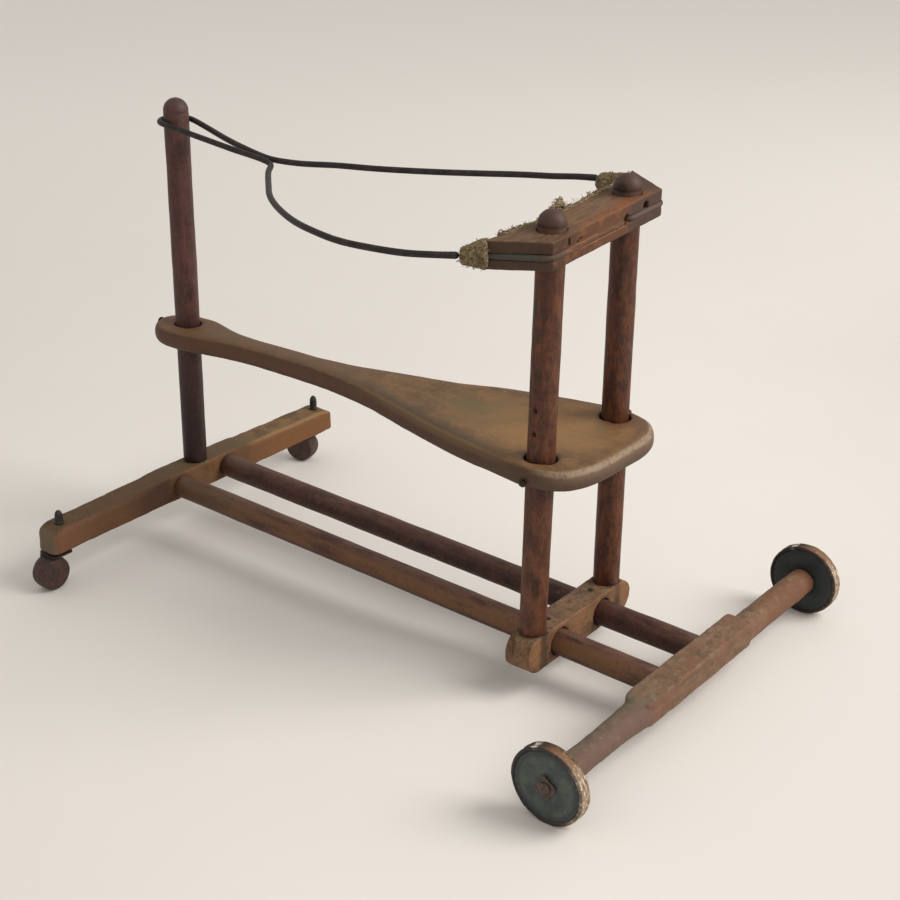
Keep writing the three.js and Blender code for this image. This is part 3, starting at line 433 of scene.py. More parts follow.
tread_paint.layers(
    ("7f5a40", across.rise(-8, 12) * patch.rise(0.25, 0.5) * 0.9),
    ("8a7f5c", across.rise(0, 12) * height.rise(20, 32) * chips.rise(0.52, 0.62) * 0.6),
    ("a5917a", low_side * streaks.rise(0.38, 0.54) * 0.75),
    ("ddd1ba", low_side * chips.rise(0.52, 0.62) * 0.8),
    ("d8ceb8", white_spot.rise(5, 2) * chips.rise(0.42, 0.54)),
    ("221b19", lip.rise(WHEEL_INNER + 1.6, WHEEL_INNER + 0.6) * 0.85),
    ("2b2e2f", outer_face * (1 - low_side * 0.5) * 0.9))
tread_paint.height = patch + streaks * 0.8 + tread_paint.noise(1.0, seed=31) * 0.3
tread_paint.finish(0.7, 0.35)

dark_iron = Finish("dark iron")
rust = dark_iron.noise(5, detail=5, rough=0.65, seed=40)
grit = dark_iron.noise(0.9, detail=2, seed=41)
dark_iron.base("2c2928", "453c38", rust.rise(0.4, 0.62))
dark_iron.layers(("5c3a2a", rust.rise(0.58, 0.7) * 0.7))
dark_iron.height = grit + rust
dark_iron.finish(0.42 + rust * 0.3, 0.2, metallic=0.55)

hub_iron = Finish("hub iron")
rust = hub_iron.noise(4, detail=5, rough=0.65, seed=45)
hub_iron.base("453934", "624f47", rust.rise(0.38, 0.6))
hub_iron.layers(("5b5650", rust.rise(0.54, 0.66) * 0.6))
hub_iron.height = rust + hub_iron.noise(0.9, seed=46) * 0.5
hub_iron.finish(0.55, 0.25, metallic=0.3)

for side, sign in SIDES.items():
    on_axle = CHASSIS @ Matrix.Rotation(sign * math.pi / 2, 4, "Y")
    low, high = WHEEL_INNER, WHEEL_OUTER
    disc = turned(
        [(4, low + 0.4), (30, low), (33.4, low), (34.2, low + 0.7), (34.2, high - 0.7),
         (33.6, high - 0.2), (30.6, high - 0.2), (29.9, high - 0.7), (29.1, high - 0.7),
         (28.2, high - 0.3), (24, high - 0.9), (12, high - 1.1), (9, high - 0.4), (4, high)],
        72, bored=True)
    placed(disc, on_axle)
    weathered(disc, (20, 0.4))
    fitted(disc, f"disc_{side}", wheel_paint, f"wheel_{side}_body", "wheels", f"wheel_{side}")
    band = turned(
        [(34.6, low), (37, low), (37.9, low + 0.8), (WHEEL_R, low + 2.2), (37.4, low + 2.8),
         (37.6, low + 6), (37.4, high - 2.8), (WHEEL_R, high - 2.2), (37.9, high - 0.8),
         (37, high), (34.6, high)],
        72, bored=True)
    applied(band, "SUBSURF", levels=1, render_levels=1, subdivision_type="SIMPLE")
    placed(band, on_axle)
    weathered(band, (5, 0.7), (14, 0.5))
    fitted(band, f"tread_{side}", tread_paint, f"wheel_{side}_body", "treads", f"tyre_{side}")
    washer = squared((18, 18, 1.6), (0, 0, HUB - 0.8))
    choose(washer, "EDGE", lambda a, b: abs(a.z - b.z) > 1)
    bpy.ops.mesh.bevel(offset=3, segments=4)
    done()
    eased(washer, 0.35)
    placed(washer, on_axle @ Matrix.Rotation(sign, 4, "Z"))
    fitted(washer, f"washer_{side}", hub_iron, "frame", "wheel_hardware", f"wheel_washer_{side}")
    bolt = turned([(3.3, ARM_END - 28), (3.5, ARM_END - 26), (3.5, HUB), (6.2, HUB + 0.3),
                   (6.4, HUB + 1.0), (5.6, HUB + 2.2), (3.8, HUB + 3.0), (1, HUB + 3.4)], 32)
    nut = squared((9.6, 9.6, 2.2), (0, 0, HUB + 1.4))
    applied(nut, "BEVEL", width=0.5, segments=2)
    combined(bolt, [nut], "UNION")
    placed(bolt, on_axle @ Matrix.Rotation(0.9, 4, "Z"))
    fitted(bolt, f"bolt_{side}", hub_iron, "frame", "wheel_hardware", f"wheel_bolt_{side}")


# ---- The rails ----
# Two dowels that run from the crossbar to the beam on glued tenons. Their stain is red-brown,
# with a paler painted highlight laid in patches along the top.

RAIL_X = 37
DOWEL_R = 13.5
RAIL_FRONT, RAIL_REAR = -665.8, -16.3
TENON = 20


def laid(place, angle, axis="X"):
    """Where a piece goes that is turned about an axis and set at a place."""
    return Matrix.Translation(place) @ Matrix.Rotation(angle, 4, axis)


rail_wood = wood("rail wood", 1, "2d1713", "46271e", "5b382b", seed=50, marks=0.7)
top, x, y = rail_wood.facing("Z"), rail_wood.axis("X"), rail_wood.axis("Y")
left_rail = x.rise(-8, 8)
blotches = rail_wood.noise((9, 50, 9), detail=4, rough=0.65, seed=54)
patches = rail_wood.noise((16, 60, 16), detail=4, seed=55)
flank = (x - RAIL_X).rise(-12, 4) * top.rise(0.95, 0.6) * top.rise(-0.6, 0)
rail_wood.layers(
    # Painted highlight: a paler colour laid in patches on the faces turned up.
    ("6b4b39", top.rise(0.3, 0.95) * blotches.rise(0.36, 0.6) * (left_rail * 0.4 + 0.4)),
    ("75502d", left_rail * flank * patches.rise(0.3, 0.55) * 0.75),
    ("5b442d", left_rail * y.rise(-100, -300) * 0.5),
    ("593f2c", y.rise(-230, -325) * 0.5),
    ("8a7455", rail_wood.noise((3, 10, 3), detail=4, rough=0.7, seed=57).rise(0.6, 0.7) * 0.3))
speckled(rail_wood, "20130c", 3.6, 0.6, 56)
rail_wood.finish(0.42 + rail_wood.stain * 0.3, 0.4)


def dowelled(dowel, name, finish, node, place):
    """Sets a dowel in the chassis, a little out of true."""
    placed(dowel, CHASSIS @ place)
    weathered(dowel, (60, 0.9), (12, 0.35))
    fitted(dowel, name, finish, "frame", "dowels", node)


for side, sign in SIDES.items():
    profile = [(7.5, RAIL_FRONT - TENON), (7.5, RAIL_FRONT), (13, RAIL_FRONT + 0.01)]
    profile += straight(DOWEL_R, RAIL_FRONT + 0.6, RAIL_REAR - 0.6)
    profile += [(13, RAIL_REAR - 0.01), (7.5, RAIL_REAR), (7.5, RAIL_REAR + TENON)]
    dowelled(turned(profile), f"chassis_rail_{side}", rail_wood, f"rail_{side}",
             laid((sign * RAIL_X, 0, 0), -math.pi / 2))


# ---- The stretcher block ----
# A short round-ended block of paler wood, bored for both rails and for the feet of the uprights.
# A nail through each rail locks it, and the block has split a little from the holes.

BLOCK_Y = -141.6
BLOCK_HALF = 90
BLOCK_DEPTH = 29
BLOCK_Z = (-19, 20.1)
UPRIGHT_X = 64.5
RAIL_HEIGHT, FOOT_Y = 42.6, 200.7  # where the rails and the uprights meet it, on the walker
CRACKS = (  # from one end to the other, and how deep
    ((92, -131, 12), (58, -128, 22), 3),
    ((46, -131, 21), (-30, -128, 21), 1.6),
    ((80, -152, 18), (91, -146, 4), 2),
    ((-66, -129, 20), (-92, -133, 8), 2.5),
)


def pointed(place, way, front="Z", up="Y"):
    """Where a piece goes that is set at a place with its front facing some way."""
    return Matrix.Translation(place) @ Vector(way).to_track_quat(front, up).to_matrix().to_4x4()


block_r = (BLOCK_Z[1] - BLOCK_Z[0]) / 2
block = turned([(block_r, -BLOCK_DEPTH / 2), (block_r, BLOCK_DEPTH / 2)], 62)
for sign in SIDES.values():
    choose(block, "VERT", lambda co: sign * co.x > 0)
    bpy.ops.transform.translate(value=(sign * (BLOCK_HALF - block_r), 0, 0))
placed(block, laid((0, BLOCK_Y, sum(BLOCK_Z) / 2), math.pi / 2))
bores = []
for sign in SIDES.values():
    rail_bore = turned([(DOWEL_R + 0.5, -BLOCK_DEPTH), (DOWEL_R + 0.5, BLOCK_DEPTH)])
    bores.append(placed(rail_bore, laid((sign * RAIL_X, BLOCK_Y, 0), math.pi / 2)))
combined(block, bores, "DIFFERENCE")
fused(block, 1.0, 7)
cracks = []
for start, stop, depth in CRACKS:
    start, stop = Vector(start), Vector(stop)
    way = stop - start
    wedge = squared((way.length, 0.7, 2 * depth))
    cracks.append(placed(wedge, pointed((start + stop) / 2, way, "X", "Z")))
combined(block, cracks, "DIFFERENCE")
placed(block, CHASSIS)
weathered(block, (24, 1.4), (6, 0.4))

block_wood = wood("block wood", 0, "4d3423", "79573b", "8c6948", seed=60)
x, y, z = (block_wood.axis(name) for name in "XYZ")
top, rear = block_wood.facing("Z"), block_wood.facing("Y")
pale = block_wood.noise(14, detail=5, rough=0.7, seed=64)
ruddy = block_wood.noise(18, detail=4, seed=67)
block_wood.layers(
    # Painted sheen: the top is laid lighter and greyer in patches.
    ("766249", top.rise(0.5, 0.95) * block_wood.mottle.rise(0.4, 0.6) * 0.6),
    ("99876f", top.rise(0.6, 0.95) * pale.rise(0.56, 0.68) * 0.6),
    ("8c5f3d", rear.rise(0.4, 0.9) * ruddy.rise(0.4, 0.6) * 0.6))
for sign in SIDES.values():
    from_rail = distance(x - sign * RAIL_X, z - RAIL_HEIGHT)
    from_foot = distance(x - sign * UPRIGHT_X, y - FOOT_Y)
    block_wood.layers(
        ("2d1d16", from_rail.rise(17.5, 13.5) * 0.85),
        ("322117", from_foot.rise(16, 13.5) * 0.7))
speckled(block_wood, "322217", 3.4, 0.7, 66)
block_wood.finish(0.6 + block_wood.stain * 0.2, 0.5)
fitted(block, "block", block_wood, "frame", "block", "stretcher_block")

for side, sign in SIDES.items():
    nail = turned([(1.1, -15), (1.1, 0), (2.4, 0.2), (2.5, 0.7), (1.9, 1.3), (0.6, 1.6)], 20)
    placed(nail, CHASSIS @ Matrix.Translation((sign * RAIL_X, BLOCK_Y, BLOCK_Z[1])))
    fitted(nail, f"nail_{side}", dark_iron, "frame", "irons", f"block_nail_{side}")


# ---- The front crossbar ----
# A bar left deeper in the middle, where the post and the rails go in, and planed down to its ends.
# Its top is weathered grey and its rear face, which the light has spared, is still orange.

BAR_HALF = 226.5
BAR_DEPTH = 31
BAR_RISE = 16.4
BAR_CUTS = (62, 78, 211, 218, 223, BAR_HALF)
BAR_FALL = (0, 2.1, 4.3, 6.9, 10.4, 15.2)  # how far its top has dropped at each of these

bar = squared((2 * BAR_HALF, BAR_DEPTH, 2 * BAR_RISE), (0, FRONT_Y, 0))
choose(bar, "EDGE", lambda a, b: a.x == b.x and a.y == b.y)
bpy.ops.mesh.bevel(offset=9, segments=5)
done()
sliced(bar, 0, [sign * x for x in BAR_CUTS[:-1] for sign in SIDES.values()])
for vertex in bar.data.vertices:
    if vertex.co.z > 0:
        vertex.co.z -= np.interp(abs(vertex.co.x), BAR_CUTS, BAR_FALL)
arms_from, arms_to = BAR_CUTS[1] - 1, BAR_CUTS[3] + 1  # their rear top edges are planed off
choose(bar, "EDGE", lambda *ends: all(arms_from < abs(end.x) < arms_to and end.z > 0
                                      and end.y > FRONT_Y + BAR_DEPTH / 2 - 1 for end in ends))
bpy.ops.mesh.bevel(offset=4, segments=1)
done()
eased(bar, 2, angle=0.5)
fused(bar, 1.5, 3)
placed(bar, CHASSIS)
weathered(bar, (30, 1.5), (8, 0.5))

bar_wood = wood("crossbar wood", 0, "3f2b1b", "5c4128", "735635", seed=70, marks=0.7)
x, top, rear = bar_wood.axis("X"), bar_wood.facing("Z"), bar_wood.facing("Y")
back_face, far_arm, stain = rear.rise(0.35, 0.8), x.rise(-60, -110), bar_wood.stain
bar_wood.layers(
    ("613f24", back_face * 0.7),
    ("764b25", back_face * far_arm * 0.75),
    ("785037", back_face * x.rise(130, 215) * 0.7),
    # Painted shade: the rear face is darkened just outboard of the left rail, where the rail shades
    # it.
    ("42251a", back_face * x.rise(45, 62) * x.rise(130, 85) * 0.75),
    ("785532", back_face * x.rise(44, 30) * x.rise(-50, -20) * stain.rise(0.3, 0.6) * 0.7),
    ("594127", top.rise(0.6, 0.95) * 0.7),
    ("5e4d34", top.rise(0.6, 0.95) * x.rise(70, 20) * x.rise(-120, -60) * 0.5),
    ("7f613b", top.rise(0.6, 0.9) * far_arm * stain.rise(0.35, 0.6) * 0.7),
    ("8e734c", top.rise(0.4, 0.65) * top.rise(0.95, 0.8) * far_arm * 0.55),
    ("685a46", bar_wood.facing("X").rise(0.3, 0.8) * 0.75))
speckled(bar_wood, "312217", 3.0, 0.6, 75)
bar_wood.finish(0.62 + stain * 0.2, 0.5)
fitted(bar, "crossbar", bar_wood, "frame", "crossbar", "front_crossbar")


# ---- The casters ----
# Small barrel casters of dark turned wood in iron horns. Each turns on a pin through the crossbar
# that is held by a tall acorn nut.

CASTER_X = 205
CASTER_YAW = {"left": 0, "right": math.radians(-75)}
CASTER_TRAIL, CASTER_DROP = 17, 24.6
BAR_TOP = 12.2  # of the crossbar, at the casters
ACORN_H = {"left": 15.5, "right": 18}
HORN_BACK = 3.5  # the crown is filed short behind this
PLATE_SHARE = 0.7  # the plate is filed down to this much of its width
PIN_SUNK = 2.6  # how deep the pin's head sits in the roller


def linked(name, data):
    """A new object in the scene for a mesh, a lamp or a camera."""
    made = bpy.data.objects.new(name, data)
    bpy.context.scene.collection.objects.link(made)
    return made


def copied(node, flat=True):
    """A welded copy of a CAD node's mesh, to be worked up. Its flat faces are made whole, or the
    triangles of a bent wire are paired."""
    piece = linked(node + "_worked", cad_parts[node].data.copy())
    opened(piece)
    bpy.ops.mesh.remove_doubles(threshold=1e-5)
    if flat:
        bpy.ops.mesh.dissolve_limited(angle_limit=0.02)
    else:
        bpy.ops.mesh.tris_convert_to_quads()
    done()
    return piece


caster_wood = Finish("caster wood")
patch = caster_wood.noise(8, detail=4, rough=0.6, seed=80)
grit = caster_wood.noise(1.1, detail=2, seed=81)
caster_wood.base("33231e", "4d332b", patch.rise(0.35, 0.65))
caster_wood.layers(
    ("68483b", caster_wood.noise(3, detail=3, seed=82).rise(0.6, 0.7) * 0.5),
    ("261a17", caster_wood.noise(5, detail=3, seed=83).rise(0.6, 0.72) * 0.6))
caster_wood.height = patch + grit * 0.4
caster_wood.finish(0.45 + patch * 0.25, 0.35)

for side, sign in SIDES.items():
    swivel, roller = f"caster_{side}_swivel_body", f"caster_{side}_wheel_body"
    stem = CHASSIS @ Matrix.Translation((sign * CASTER_X, FRONT_Y, 0))
    turn = stem @ Matrix.Rotation(CASTER_YAW[side], 4, "Z")
    tall = ACORN_H[side]
    acorn = turned(
        [(5.0, 0), (5.3, 0.5), (5.2, 1.5), (4.5, 2.0), (4.4, 0.3 * tall), (4.5, 0.5 * tall),
         (4.2, 0.68 * tall), (3.4, 0.84 * tall), (2.0, 0.95 * tall), (0.6, tall)], 32)
    placed(acorn, stem @ Matrix.Translation((0, 0, BAR_TOP + 0.6)))
    weathered(acorn, (5, 0.5))
    fitted(acorn, f"acorn_{side}", dark_iron, "frame", "irons", f"acorn_nut_{side}")
    for node, name, body in ((f"caster_kingpin_{side}", f"kingpin_{side}", "frame"),
                             (f"caster_plate_{side}", f"plate_{side}", "frame"),
                             (f"caster_horn_{side}", f"horn_{side}", swivel),
                             (f"caster_pin_{side}", f"roller_pin_{side}", swivel)):
        piece = placed(copied(node), turn.inverted())
        for vertex in piece.data.vertices:
            spot = vertex.co
            if name.startswith("horn") and spot.x < -HORN_BACK:
                spot.x = -HORN_BACK + (spot.x + HORN_BACK) * 0.45
            elif name.startswith("plate") and spot.xy.length > 9:
                spot.xy *= PLATE_SHARE
            elif name.startswith("roller_pin") and spot.y > 9:
                spot.y -= PIN_SUNK
        placed(piece, turn)
        eased(piece, 0.0003)
        finish = caster_wood if name.startswith("roller_pin") else dark_iron
        fitted(piece, name, finish, body, "irons", node)
    wheel = turned(  # its open face hides the pin's head
        [(5, -10.4), (10, -10.4), (16.6, -10.4), (17.4, -10.2), (18.1, -9.5), (18.5, -8.6),
         (19.1, -5.5), (19.4, -1.5), (19.4, 1.5), (19.1, 5.5), (18.5, 8.6), (18.1, 9.5),
         (17.4, 10.2), (16.6, 10.4), (3.6, 10.4), (3.6, -9.9)])
    placed(wheel, turn @ laid((CASTER_TRAIL, 0, -BAR_RISE - CASTER_DROP), math.pi / 2))
    weathered(wheel, (9, 0.5))
    fitted(wheel, f"roller_{side}", caster_wood, roller, "caster_wheels", f"caster_wheel_{side}")


# ---- The front post ----
# A dark dowel with a rounded head, tenoned into the crossbar. Small holes up its front take the
# screw that sets the height of the seat.

POST_R = 13.75
POST_TOP = 446.7
POST_SCREW = 199.3  # height of the seat's screw, over the chassis
PEG_R = 2.5
PEG_ROWS = (34, 57.5)  # the spare holes, over the seat's screws


def domed(radius, foot, top, shoulder=0):
    """The profile of a dowel that ends in a half-round head over a faint shoulder line."""
    profile = straight(radius, foot, top - radius - 2)
    profile += [(radius - 0.5 * shoulder, top - radius - 1), (radius, top - radius)]
    steps = 9
    for i in range(1, steps + 1):
        angle = math.pi / 2 * i / (steps + 0.5)
        profile.append((radius * math.cos(angle), top - radius + radius * math.sin(angle)))
    return profile


def pegged(obj, places):
    """Bores the rows of peg holes. Each place is the mouth and the way out of it."""
    holes = []
    for mouth, way in places:
        drill = turned([(PEG_R, -9), (PEG_R, 3)], 20)
        holes.append(placed(drill, pointed(mouth, way)))
    return combined(obj, holes, "DIFFERENCE")


post_wood = wood("post wood", 2, "311a16", "482822", "593329", seed=90)
z = post_wood.axis("Z")
post_wood.layers(
    ("4d3532", z.rise(440, 500) * 0.6),
    ("5d3731", post_wood.noise((8, 8, 60), seed=94).rise(0.5, 0.7) * z.rise(200, 330) * 0.6),
    # Painted shade: near black on the post below the seat.
    ("1d0c0b", z.rise(270, 130) * 0.82))
speckled(post_wood, "7b5142", 2.2, 0.5, 95)
speckled(post_wood, "1e1210", 3.5, 0.6, 96)
post_wood.finish(0.4 + post_wood.stain * 0.25, 0.35)

post = turned([(10, -7), (10, 16.6), (13.3, 16.7)] + domed(POST_R, 17.2, POST_TOP, 0.8))
pegged(post, [((0, -POST_R, POST_SCREW + row), (0, -1, 0)) for row in PEG_ROWS])
dowelled(post, "post", post_wood, "front_post", Matrix.Translation((0, FRONT_Y, 0)))


# ---- The uprights ----
# Two redder dowels that stand on the block, lean in a little and end in round heads above the
# backrest. They are bored in rows for the side screws of the seat.

LEAN = math.atan2(4.5, 408.8)
UPRIGHT_TOP = {"left": 423.7, "right": 430.5}
SCREW_LEVEL = {"left": 179.0, "right": 183.5}
DENT_SHADE = (-46.6, 216.2, 480.9)  # a hollow in the far head, on the walker, whose shade is painted as a dark spot

upright_wood = wood("upright wood", 2, "2c140b", "462312", "5c3019", seed=100)
z = upright_wood.axis("Z")
from_dent_shade = distance(*(upright_wood.axis(name) - place for name, place in zip("XYZ", DENT_SHADE)))
head = z.rise(466, 472)
blotches = upright_wood.noise((7, 7, 22), detail=5, rough=0.72, seed=104)
upright_wood.layers(
    ("72401f", blotches.rise(0.48, 0.62) * 0.55),
    ("663d24", upright_wood.facing("Y").rise(0.2, 0.9) * blotches.rise(0.4, 0.6) * 0.4),
    ("40281e", head * 0.85),
    ("4f382d", head * upright_wood.stain.rise(0.45, 0.6) * 0.6),
    ("6e412a", z.rise(236, 120) * blotches.rise(0.36, 0.6) * 0.5),
    # Painted shade: a dark spot standing for the shade inside the hollow of the far head.
    ("291711", from_dent_shade.rise(6.5, 4) * 0.85))
speckled(upright_wood, "21100b", 3.5, 0.65, 105)
speckled(upright_wood, "83593b", 1.8, 0.3, 106)
upright_wood.finish(0.42 + upright_wood.stain * 0.25, 0.35)

for side, sign in SIDES.items():
    upright = turned([(8, -24), (8, 0), (13, 0.3)] + domed(DOWEL_R, 0.8, UPRIGHT_TOP[side], 1.2))
    rows = [((sign * DOWEL_R, 0, SCREW_LEVEL[side] + row), (sign, 0, 0)) for row in PEG_ROWS]
    pegged(upright, rows)
    dowelled(upright, f"backrest_post_{side}", upright_wood, f"upright_{side}",
             laid((sign * UPRIGHT_X, BLOCK_Y, BLOCK_Z[1]), -sign * LEAN, "Y"))


# ---- The seat ----
# One board sawn to a long pear shape, bored to slide on all three posts and rounded over all its
# edges. Years of use have dished it slightly and polished its middle to a tan.

SEAT_TOP = 249
DISH = 2.2
NOSE_Y, UPRIGHT_Y = -343, 200  # its bores, on the walker
BORE_LIP = 21  # the flat left round each bore
RIM_ROUNDS = 60  # of rubbing, for its well-rounded edge

seat = copied("seat")
placed(seat, Matrix.Scale(1000, 4))
fused(seat, 1.7, 6)
spots = np.empty(len(seat.data.vertices) * 3)
seat.data.vertices.foreach_get("co", spots)
spots = spots.reshape(-1, 3)
deep = np.exp(-(((spots[:, 0]) / 52) ** 2 + ((spots[:, 1] - 130) / 95) ** 2) ** 1.5)
upper = np.clip((spots[:, 2] - SEAT_TOP + 9) / 8, 0, 1)
spots[:, 2] -= DISH * deep * upper
seat.data.vertices.foreach_set("co", spots.ravel())
bores = ((0, NOSE_Y), (UPRIGHT_X, UPRIGHT_Y), (-UPRIGHT_X, UPRIGHT_Y))
from_bore = np.min([np.hypot(spots[:, 0] - bx, spots[:, 1] - by) for bx, by in bores], axis=0)
rim = seat.vertex_groups.new(name="rim")
rim.add([int(i) for i in np.flatnonzero(from_bore > BORE_LIP)], 1, "REPLACE")
applied(seat, "SMOOTH", factor=0.5, iterations=RIM_ROUNDS, vertex_group="rim")
sides = [vertex.co for vertex in seat.data.vertices
         if abs(vertex.normal.z) < 0.3 and from_bore[vertex.index] > BORE_LIP]
tree = KDTree(len(sides))
for i, place in enumerate(sides):
    tree.insert((place.x, place.y, 0), i)
tree.balance()
inside = seat.data.attributes.new("inside", "FLOAT", "POINT")
for vertex in seat.data.vertices:
    inside.data[vertex.index].value = tree.find((vertex.co.x, vertex.co.y, 0))[2]
placed(seat, Matrix.Scale(0.001, 4))
weathered(seat, (55, 1.4), (10, 0.35))

seat_wood = wood("seat wood", 1, "5a4328", "775835", "8a663e", seed=110, marks=0.6)
x, y, top = seat_wood.axis("X"), seat_wood.axis("Y"), seat_wood.facing("Z")
cloud = seat_wood.noise(40, detail=4, rough=0.6, seed=119)
rim_patches = seat_wood.noise(7, detail=5, rough=0.72, seed=121)
middle = (x * x * 0.0003 + (y - 150) * (y - 150) * 0.00006).rise(1.0, 0.1)
hollow = cloud + (x * x * 0.0012 + (y - 70) * (y - 70) * 0.0004) * -0.25
inside = seat_wood.node("Attribute", {"attribute_name": "inside"}, {}, "Fac")
border = top.rise(0.85, 0.97) * inside.rise(24, 7)
left_side = x.rise(-20, 20) * y.rise(200, 150) * y.rise(-140, -40)
neck = y.rise(-30, -90) * y.rise(-320, -290)
rear_top = y.rise(120, 175) * y.rise(232, 205) * top.rise(0.9, 0.98)
rear_rim_highlight = y.rise(205, 240) * top.rise(0.2, 0.5) * top.rise(0.985, 0.85)
left_edge = x.rise(-10, 20) * top.rise(0.05, 0.5) * top.rise(0.99, 0.93)
left_edge = left_edge * y.rise(-90, 40) * y.rise(200, 150)
seat_wood.layers(
    ("8f6d40", middle * top.rise(0.7, 0.98) * 0.65),
    ("8e6637", rear_top * cloud.rise(0.35, 0.6) * 0.5),
    ("5d563b", hollow.rise(0.28, 0.55) * 0.55),
    ("4a3a26", border * left_side * cloud.rise(0.2, 0.5) * 0.75),
    ("4e3524", border * x.rise(0, -30) * y.rise(80, 160) * cloud.rise(0.25, 0.55) * 0.7),
    ("6b4730", border * y.rise(185, 225) * cloud.rise(0.3, 0.55) * 0.6),
    ("452f1d", top.rise(0.95, 0.6) * 0.88),
    ("472617", top.rise(0.9, 0.5) * y.rise(190, 120) * cloud.rise(0.4, 0.6) * 0.7),
    ("6b5441", y.rise(215, 245) * top.rise(0.95, 0.6) * (0.5 + seat_wood.mottle * 0.6)),
    # Painted highlight: a paler grey-brown band, in patches, over the upper rounding of the rear
    # rim.
    ("8c775e", rear_rim_highlight * rim_patches.rise(0.25, 0.55)),
    ("55402f", y.rise(195, 235) * top.rise(0.95, 0.8) * rim_patches.rise(0.46, 0.34) * 0.7),
    # Painted shade: darker on the faces turned down, under the seat.
    ("4c3728", top.rise(0.25, -0.2) * 0.6),
    ("553728", y.rise(-40, -230) * 0.4),
    ("5f4730", neck * top.rise(0.8, 0.97) * 0.6),
    ("5e3820", top.rise(0.7, 0.3) * top.rise(-0.5, 0) * y.rise(40, -60) * 0.45),
    ("785d3c", left_edge * 0.5))
speckled(seat_wood, "45321f", 3.0, 0.45, 115)
seat_wood.finish(0.5 + seat_wood.stain * 0.2, 0.35)
fitted(seat, "seat_board", seat_wood, "seat_body", "seat", "seat")

HEAD_Y, HEAD_Z = -0.3765, 0.2375  # the front screw's head, on the walker in metres
HEAD_SPREAD, HEAD_LIFT = 1.2, 0.0038

screw_steel = Finish("screw steel")
rust = screw_steel.noise(2.5, detail=4, rough=0.65, seed=120)
screw_steel.base("211b18", "433730", rust.rise(0.4, 0.65))
screw_steel.layers(("5e3a28", rust.rise(0.6, 0.7) * 0.6))
screw_steel.height = rust
screw_steel.finish(0.42, 0.2, metallic=0.6)
for name in ("front", "left", "right"):
    screw = copied(f"seat_screw_{name}")
    if name == "front":  # a broader head, set high in the nose
        for vertex in screw.data.vertices:
            spot = vertex.co
            if spot.y < HEAD_Y:
                spot.x, spot.z = spot.x * HEAD_SPREAD, HEAD_Z + (spot.z - HEAD_Z) * HEAD_SPREAD
            spot.z += HEAD_LIFT
    eased(screw, 0.0004, angle=0.5)
    applied(screw, "SUBSURF", levels=1, render_levels=1)
    fitted(screw, f"set_screw_{name}", screw_steel, "seat_body", "screws", f"seat_screw_{name}")


# ---- The backrest board ----
# A thick board with splayed ends and a hollow front edge. The heads of the uprights come up
# through it, and the tails of the wire guard lie in a groove round its back and its ends.

BOARD_TOP = 428.9
BOARD_TILT = math.radians(3.24)
BOARD = CHASSIS @ laid((0, 0, BOARD_TOP), BOARD_TILT, "Y")
BOARD_REAR_Y = -120.8
GROOVE_Z = 456.2  # the groove's middle, on the walker
HOLLOW_Y, HOLLOW_CURVE = 193.2, 0.00082  # its front edge on the walker, and how hollow it is

backrest = placed(copied("backrest_board"), BOARD.inverted())
marks = [squared((2.6, 9, 8), (63, BOARD_REAR_Y, -6.6)),
         placed(squared((9, 8, 2)), laid((48, BOARD_REAR_Y, -9.5), 0.25, "Y"))]
for x, z in ((-28, -12.3), (-60, -8.5)):
    peg_hole = turned([(4.4, -9), (4.4, 6)], 16)
    marks.append(placed(peg_hole, laid((x, BOARD_REAR_Y, z), math.pi / 2)))
combined(backrest, marks, "DIFFERENCE")
fused(backrest, 0.8, 2)
placed(backrest, BOARD)
weathered(backrest, (22, 0.8), (6, 0.35))

board_wood = wood("backrest wood", 0, "412a18", "5d3d26", "715034", seed=130, marks=0.6)
x, y, z = (board_wood.axis(name) for name in "XYZ")
top, rear = board_wood.facing("Z").rise(0.6, 0.9), board_wood.facing("Y").rise(0.5, 0.9)
grain = board_wood.noise((14, 4, 14), detail=5, rough=0.72, seed=135)
lines = board_wood.noise((45, 2.2, 9), detail=3, rough=0.6, bend=0.8, seed=137)
stain, fluff = board_wood.stain, board_wood.noise(2.2, detail=4, rough=0.8, seed=138)
middle = x.rise(62, 30) * x.rise(-80, -50)
from_groove = z + x * math.tan(BOARD_TILT) - GROOVE_Z
lip = (from_groove.size() - 3.4).size().rise(0.9, 0.3) * x.rise(66, 30) * x.rise(-30, -20)
from_front = y + x * x * HOLLOW_CURVE - HOLLOW_Y
board_wood.layers(
    ("674f36", top * x.rise(10, 80) * grain.rise(0.36, 0.6) * 0.75),
    ("755b42", top * grain.rise(0.5, 0.66) * 0.5),
    ("473120", top * lines.rise(0.46, 0.36) * 0.6),
    ("7b5d41", top * x.rise(60, 30) * x.rise(-50, -20) * lines.rise(0.35, 0.55) * 0.7),
    ("7d4923", top * y.rise(216, 229) * middle * stain.rise(0.3, 0.54) * 0.85),
    ("402d23", top * x.rise(-66, -96) * 0.8),
    ("563016", rear * 0.8),
    ("3a2413", rear * x.rise(30, 80) * 0.7),
    ("7a4c26", rear * grain.rise(0.5, 0.64) * 0.55),
    ("926d4c", rear * lip * 0.6),
    ("3e2e26", rear * x.rise(-26, -38) * 0.8),
    ("422f23", board_wood.facing("X").size().rise(0.55, 0.85) * 0.85),
    ("64543a", top * from_front.rise(8, 2.5) * x.rise(14, 40) * fluff.rise(0.36, 0.5)))
speckled(board_wood, "2b1c13", 3.2, 0.6, 136)
board_wood.finish(0.6 + stain * 0.2, 0.5)
fitted(backrest, "backrest", board_wood, "frame", "board", "backrest_board")


# ---- The wire guard ----
# One springy iron wire, bent by hand: it loops round the head of the post, spreads into a hoop
# for the child's body, and runs round the back of the board in its groove, where it was stained
# over together with the wood.

